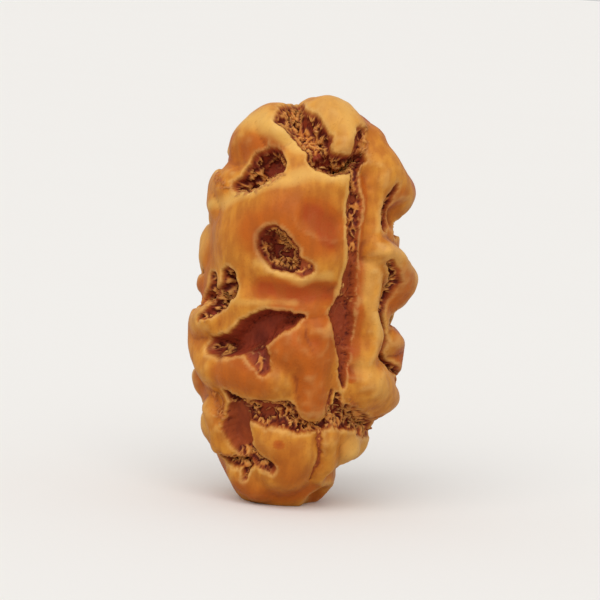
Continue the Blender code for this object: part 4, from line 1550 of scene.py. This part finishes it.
@dataclass
class SeedStone:
    """The seed stone itself, from crown to foot, in millimetres.

    Attributes:
        cells: Quads along each side of the egg's two end caps.
        near_pit: Distance inside a pit's edge from which the quads are halved.
        near_fray: Strength of a rough patch from which they are.
        longest: Length over which an edge on a pit's wall is halved.
        clearing_size: Breadth of the smooth clearings in the pits on the back.
        clearing: Range of the noise over which one sets in.
        clearing_share: How smooth it is.
        lining: Distance inside a pit's edge over which the rough floor sets in.
        pile_share: Height of the strands in a shallow place, as a share of its depth.
        pile_level: Share of the strands' height that stays under the floor.
        ruffle_level: The same in the rough patches.
        strand_gain: How fast the strands' colour sets in.
        rooting: Distance inside a pit's edge over which fibres set in.
        rooting_roughness: Roughness that they need.
        relief: The relief over the egg.
        marking: Where the marks for the finish lie.
        finish: Its finish.
        places: The vertices, once built.
        facing: Their normals.
        roots: How readily a fibre grows from each.
    """

    cells: int = 66
    near_pit: float = -0.12
    near_fray: float = 0.1
    longest: float = 0.22
    clearing_size: float = 1.7
    clearing: Span = (0.0, 0.3)
    clearing_share: float = 0.6
    lining: Span = (0.0, 0.12)
    pile_share: float = 0.6
    pile_level: float = 0.25
    ruffle_level: float = 0.45
    strand_gain: float = 1.4
    rooting: Span = (0.14, 0.45)
    rooting_roughness: float = 0.3
    relief: Relief = Relief()
    marking: Marking = Marking()
    finish: SeedStoneFinish = SeedStoneFinish()
    places: np.ndarray = field(init=False, repr=False)
    facing: np.ndarray = field(init=False, repr=False)
    roots: np.ndarray = field(init=False, repr=False)

    def refine(self, shell: bmesh.types.BMesh) -> None:
        """Halves the quads in the pits and the rough patches, then the long edges of the walls.

        Args:
            shell: The egg, which gains vertices.
        """
        for on_walls in (False, True):
            shell.normal_update()
            points = np.array([vertex.co for vertex in shell.verts])
            seen = self.relief.bent(points)
            bites = self.relief.pitted(seen)
            ends = np.array([[vertex.index for vertex in edge.verts] for edge in shell.edges])
            first, second = ends.T
            if on_walls:
                across = np.linalg.norm(points[first] - points[second], axis=1)
                drop = bites.sunk[first] - bites.sunk[second]
                chosen = np.hypot(across, drop) > self.longest
            else:
                frayed = self.relief.tinted(seen, FRAYS) > self.near_fray
                near = (bites.inside > self.near_pit) | frayed
                chosen = near[first] & near[second]
            edges = [edge for edge, taken in zip(shell.edges, chosen) if taken]
            bmesh.ops.subdivide_edges(shell, edges=edges, cuts=1, use_grid_fill=True)
            shell.verts.index_update()
        shell.normal_update()

    def raised(
        self, shell: bmesh.types.BMesh, points: np.ndarray, height: np.ndarray
    ) -> tuple[np.ndarray, np.ndarray]:
        """Moves the egg's vertices out to the relief.

        Args:
            shell: The egg, whose vertices move.
            points: Its points.
            height: Height of the relief at each of them.

        Returns:
            The new places and their normals.
        """
        normals = np.array([vertex.normal for vertex in shell.verts])
        places = points + height[:, None] * normals
        for vertex, place in zip(shell.verts, places):
            vertex.co = place
        shell.normal_update()
        return places, np.array([vertex.normal for vertex in shell.verts])

    def roughness(self, points: np.ndarray, seen: np.ndarray, rough: np.ndarray) -> np.ndarray:
        """Smooths the clearings and the bare patches on the pits' floors.

        Args:
            points: Points of the egg.
            seen: The same points as the strokes see them.
            rough: How rough each pit's floor is.

        Returns:
            How rough the floor is at each point.
        """
        wave = self.relief.drift(seen, self.clearing_size, NoiseField.CLEARINGS)[:, 0]
        clear = self.relief.on_back(points) * smooth_step(wave, *self.clearing)
        bare = self.relief.tinted(seen, BARE)
        return rough * (1 - np.maximum(self.clearing_share * clear, bare))

    def build(self) -> bpy.types.Object:
        """Makes the surface, marks it for its finish and dresses it.

        Returns:
            The finished piece.
        """
        shell = EGG.mesh(self.cells)
        self.refine(shell)
        points = np.array([vertex.co for vertex in shell.verts])
        relief = self.relief
        seen = relief.bent(points)
        bites = relief.pitted(seen)
        height = relief.lobed(points, seen) - bites.sunk
        places, facing = self.raised(shell, points, height)

        fray = relief.tinted(seen, FRAYS)
        rough = self.roughness(points, seen, bites.rough)
        within = smooth_step(bites.inside, *self.lining) * np.maximum(rough, fray)
        grainy = (within > 0) | (fray > 0)
        strand = np.zeros(len(points))
        strand[grainy] = relief.strands(places[grainy])
        tallest = np.minimum(relief.strand_rise, self.pile_share * bites.sunk)
        pile = tallest * (strand - self.pile_level) * within
        ruffle = relief.fray_rise * (strand - self.ruffle_level) * fray * (1 - within)
        places = places + (pile + ruffle)[:, None] * facing
        places[:, 2] = np.maximum(places[:, 2], 0)
        places[:, :2] -= EGG.box_middle

        for vertex, place in zip(shell.verts, places * MM):
            vertex.co = place
        mesh = bpy.data.meshes.new("seed_stone_surface")
        shell.to_mesh(mesh)
        shell.free()
        mesh.shade_smooth()
        self.places, self.facing = places, facing
        rooted = smooth_step(bites.inside, *self.rooting)
        self.roots = within * rooted * (rough > self.rooting_roughness)
        shown = strand * np.minimum(self.strand_gain * within, 1)
        marks = self.marking.shape_marks(mesh, places)
        marks |= self.marking.tint_marks(places, seen, relief)
        marks |= self.marking.pit_marks(bites, shown, strand * fray)
        with_marks(mesh, self.marking.stained(marks, relief.tinted(seen, STAINS)))
        mesh.materials.append(self.finish.material())
        return dressed(placed("seed_stone_surface", mesh))


@dataclass
class PitFibres:
    """Dry fibres that stand in the crumbled pits, in millimetres.

    Attributes:
        stone: The seed stone that they grow from, already built.
        count: How many there are.
        seed: Seed of their random draws.
        lengths: Shortest and longest.
        widths: Thinnest and thickest at the root.
        rises: Least and most that one rises for its length.
        bends: How far one bends aside for its length, to the left and to the right.
        droop: How far one droops again towards its tip, as a share of its rise.
        rooted: How deep the roots are sunk in.
        taper: How blunt the tips are: at 1 they are sharp.
        unevenness: How uneven a fibre's width is.
        uneven: Least and most that its width is scaled by.
        steps: Straight runs in a fibre.
        sides: Sides of a fibre.
        finish: Their finish.
    """

    stone: SeedStone
    count: int = 260
    seed: int = 11
    lengths: Span = (0.28, 0.60)
    widths: Span = (0.14, 0.25)
    rises: Span = (0.05, 0.55)
    bends: Span = (-1.1, 1.1)
    droop: float = 0.5
    rooted: float = 0.04
    taper: float = 1.05
    unevenness: float = 0.25
    uneven: Span = (0.4, 1.5)
    steps: int = 5
    sides: int = 6
    finish: FibreFinish = FibreFinish()

    def faces(self) -> list[list[int]]:
        """Joins the rings of all the fibres.

        Returns:
            The vertices of each face.
        """
        ring = np.arange(self.sides)
        nearer = np.arange(self.steps)[:, None] * self.sides + ring
        wall = np.stack([nearer, nearer - ring + (ring + 1) % self.sides], axis=-1)
        wall = np.concatenate([wall, wall[..., ::-1] + self.sides], axis=-1).reshape(-1, 4)
        starts = np.arange(self.count) * (self.steps + 1) * self.sides
        quads = (starts[:, None, None] + wall[None]).reshape(-1, 4)
        tips = starts[:, None] + self.steps * self.sides + ring
        butts = starts[:, None] + ring[::-1]
        return quads.tolist() + tips.tolist() + butts.tolist()

    def build(self) -> bpy.types.Object:
        """Grows the fibres from the pits' floors as one mesh.

        Returns:
            The finished piece.
        """
        draw = np.random.default_rng(self.seed)
        share = self.stone.roots / self.stone.roots.sum()
        chosen = draw.choice(len(share), self.count, replace=False, p=share)
        root = self.stone.places[chosen]
        out = self.stone.facing[chosen]
        lean = np.cross(out, draw.normal(size=out.shape))
        lean /= np.linalg.norm(lean, axis=1, keepdims=True)
        aside = np.cross(out, lean)
        length = draw.uniform(*self.lengths, self.count)
        width = draw.uniform(*self.widths, self.count)
        rise = draw.uniform(*self.rises, self.count)
        bend = draw.uniform(*self.bends, self.count)

        along = np.linspace(0, 1, self.steps + 1)
        ahead = along[None, :] * length[:, None]
        sweep = (bend * length)[:, None] * along[None, :] ** 2
        lift = rise[:, None] * ahead * (1 - self.droop * along[None, :]) - self.rooted
        line = (
            root[:, None]
            + ahead[..., None] * lean[:, None]
            + sweep[..., None] * aside[:, None]
            + lift[..., None] * out[:, None]
        )
        uneven = 1 + self.unevenness * draw.normal(size=(self.count, self.steps + 1))
        blunt = np.sqrt(np.clip(self.taper - along[None, :] ** 2, 0, 1))
        radius = width[:, None] / 2 * blunt * np.clip(uneven, *self.uneven)
        turn = np.linspace(0, 2 * math.pi, self.sides, endpoint=False)[:, None, None]
        spokes = (np.cos(turn) * out[None] + np.sin(turn) * aside[None]).transpose(1, 0, 2)
        skin = line[:, :, None] + radius[:, :, None, None] * spokes[:, None]

        mesh = bpy.data.meshes.new("pit_fibres")
        mesh.from_pydata((skin.reshape(-1, 3) * MM).tolist(), [], self.faces())
        mesh.shade_smooth()
        with_marks(mesh, {"along": np.tile(np.repeat(along, self.sides), self.count)})
        mesh.materials.append(self.finish.material())
        return dressed(placed("pit_fibres", mesh))


@dataclass(frozen=True)
class Studio:
    """Floor, lights and camera.

    Attributes:
        aim: What the camera looks at, in millimetres.
        distance: How far away the camera stands, in millimetres.
        frame_width: Width of what it sees there, in millimetres.
        from_above: Degrees by which it looks down.
        roll: Degrees by which it is rolled, which leans the bead to the right.
        sensor: Width of its sensor, in millimetres.
        nearest: Nearest that it sees, in metres.
        farthest: Farthest that it sees, in metres.
        floor_radius: Radius of the floor, in metres.
        floor_sides: Sides of its edge.
        sky: Brightness of the even light from all around.
        sky_colour: Colour of that light.
        sun: Brightness of the soft light from the front.
        sun_angle: Degrees that the soft light spans.
        sun_from: Where the soft light comes from.
    """

    aim: Place = (0.05 - EGG.box_middle[0], 0.0, 12.7)
    distance: float = 200.0
    frame_width: float = 37.5
    from_above: float = 6.0
    roll: float = 4.0
    sensor: float = 36.0
    nearest: float = 0.01
    farthest: float = 20.0
    floor_radius: float = 6.0
    floor_sides: int = 96
    sky: float = 0.65
    sky_colour: Colour = (1.0, 0.99, 0.975)
    sun: float = 1.52
    sun_angle: float = 60.0
    sun_from: Place = (-0.15, -1.0, 1.05)

    def camera(self) -> None:
        """Stands the camera where the photograph was taken from."""
        lens = bpy.data.cameras.new("camera")
        lens.sensor_width = self.sensor
        lens.lens = self.sensor * self.distance / self.frame_width
        lens.clip_start = self.nearest
        lens.clip_end = self.farthest
        down = math.radians(self.from_above)
        aim = Vector(self.aim) * MM
        away = Vector((0, -math.cos(down), math.sin(down)))
        turn = (-away).to_track_quat("-Z", "Y").to_matrix().to_4x4()
        place = Matrix.Translation(aim + away * self.distance * MM)
        camera = placed("camera", lens)
        camera.matrix_world = place @ turn @ Matrix.Rotation(math.radians(self.roll), 4, "Z")
        bpy.context.scene.camera = camera

    def floor(self) -> None:
        """Lays a pale round floor under the bead."""
        disc = bmesh.new()
        bmesh.ops.create_circle(
            disc, cap_ends=True, segments=self.floor_sides, radius=self.floor_radius
        )
        mesh = bpy.data.meshes.new("studio_floor")
        disc.to_mesh(mesh)
        disc.free()
        mesh.materials.append(FloorFinish().material())
        floor = placed("studio_floor", mesh)

    def lights(self) -> None:
        """Lights the bead softly from the front and evenly from all around."""
        world = bpy.data.worlds.new("studio")
        world.use_nodes = True
        backdrop = world.node_tree.nodes["Background"]
        backdrop.inputs["Color"].default_value = (*self.sky_colour, 1.0)
        backdrop.inputs["Strength"].default_value = self.sky
        bpy.context.scene.world = world
        sun = bpy.data.lights.new("softbox", "SUN")
        sun.energy = self.sun
        sun.angle = math.radians(self.sun_angle)
        lamp = placed("softbox", sun)
        lamp.rotation_euler = Vector(self.sun_from).to_track_quat("Z", "Y").to_euler()
        bpy.context.scene.view_settings.view_transform = "Standard"

    def build(self) -> None:
        """Sets up the whole studio."""
        self.camera()
        self.floor()
        self.lights()


def report(piece: bpy.types.Object) -> None:
    """Says how large a finished piece is.

    Args:
        piece: The piece.
    """
    mesh = piece.data
    mesh.calc_loop_triangles()
    log.info("%s: %d triangles", piece.name, len(mesh.loop_triangles))


def main() -> None:
    """Builds the bead and its studio, and reports each piece."""
    logging.basicConfig(level=logging.INFO, format="%(message)s")
    noise.seed_set(NOISE_SEED)
    Studio().build()
    stone = SeedStone(cells=SeedStone.cells)
    report(stone.build())
    report(PitFibres(stone).build())


if __name__ == "__main__":
    main()
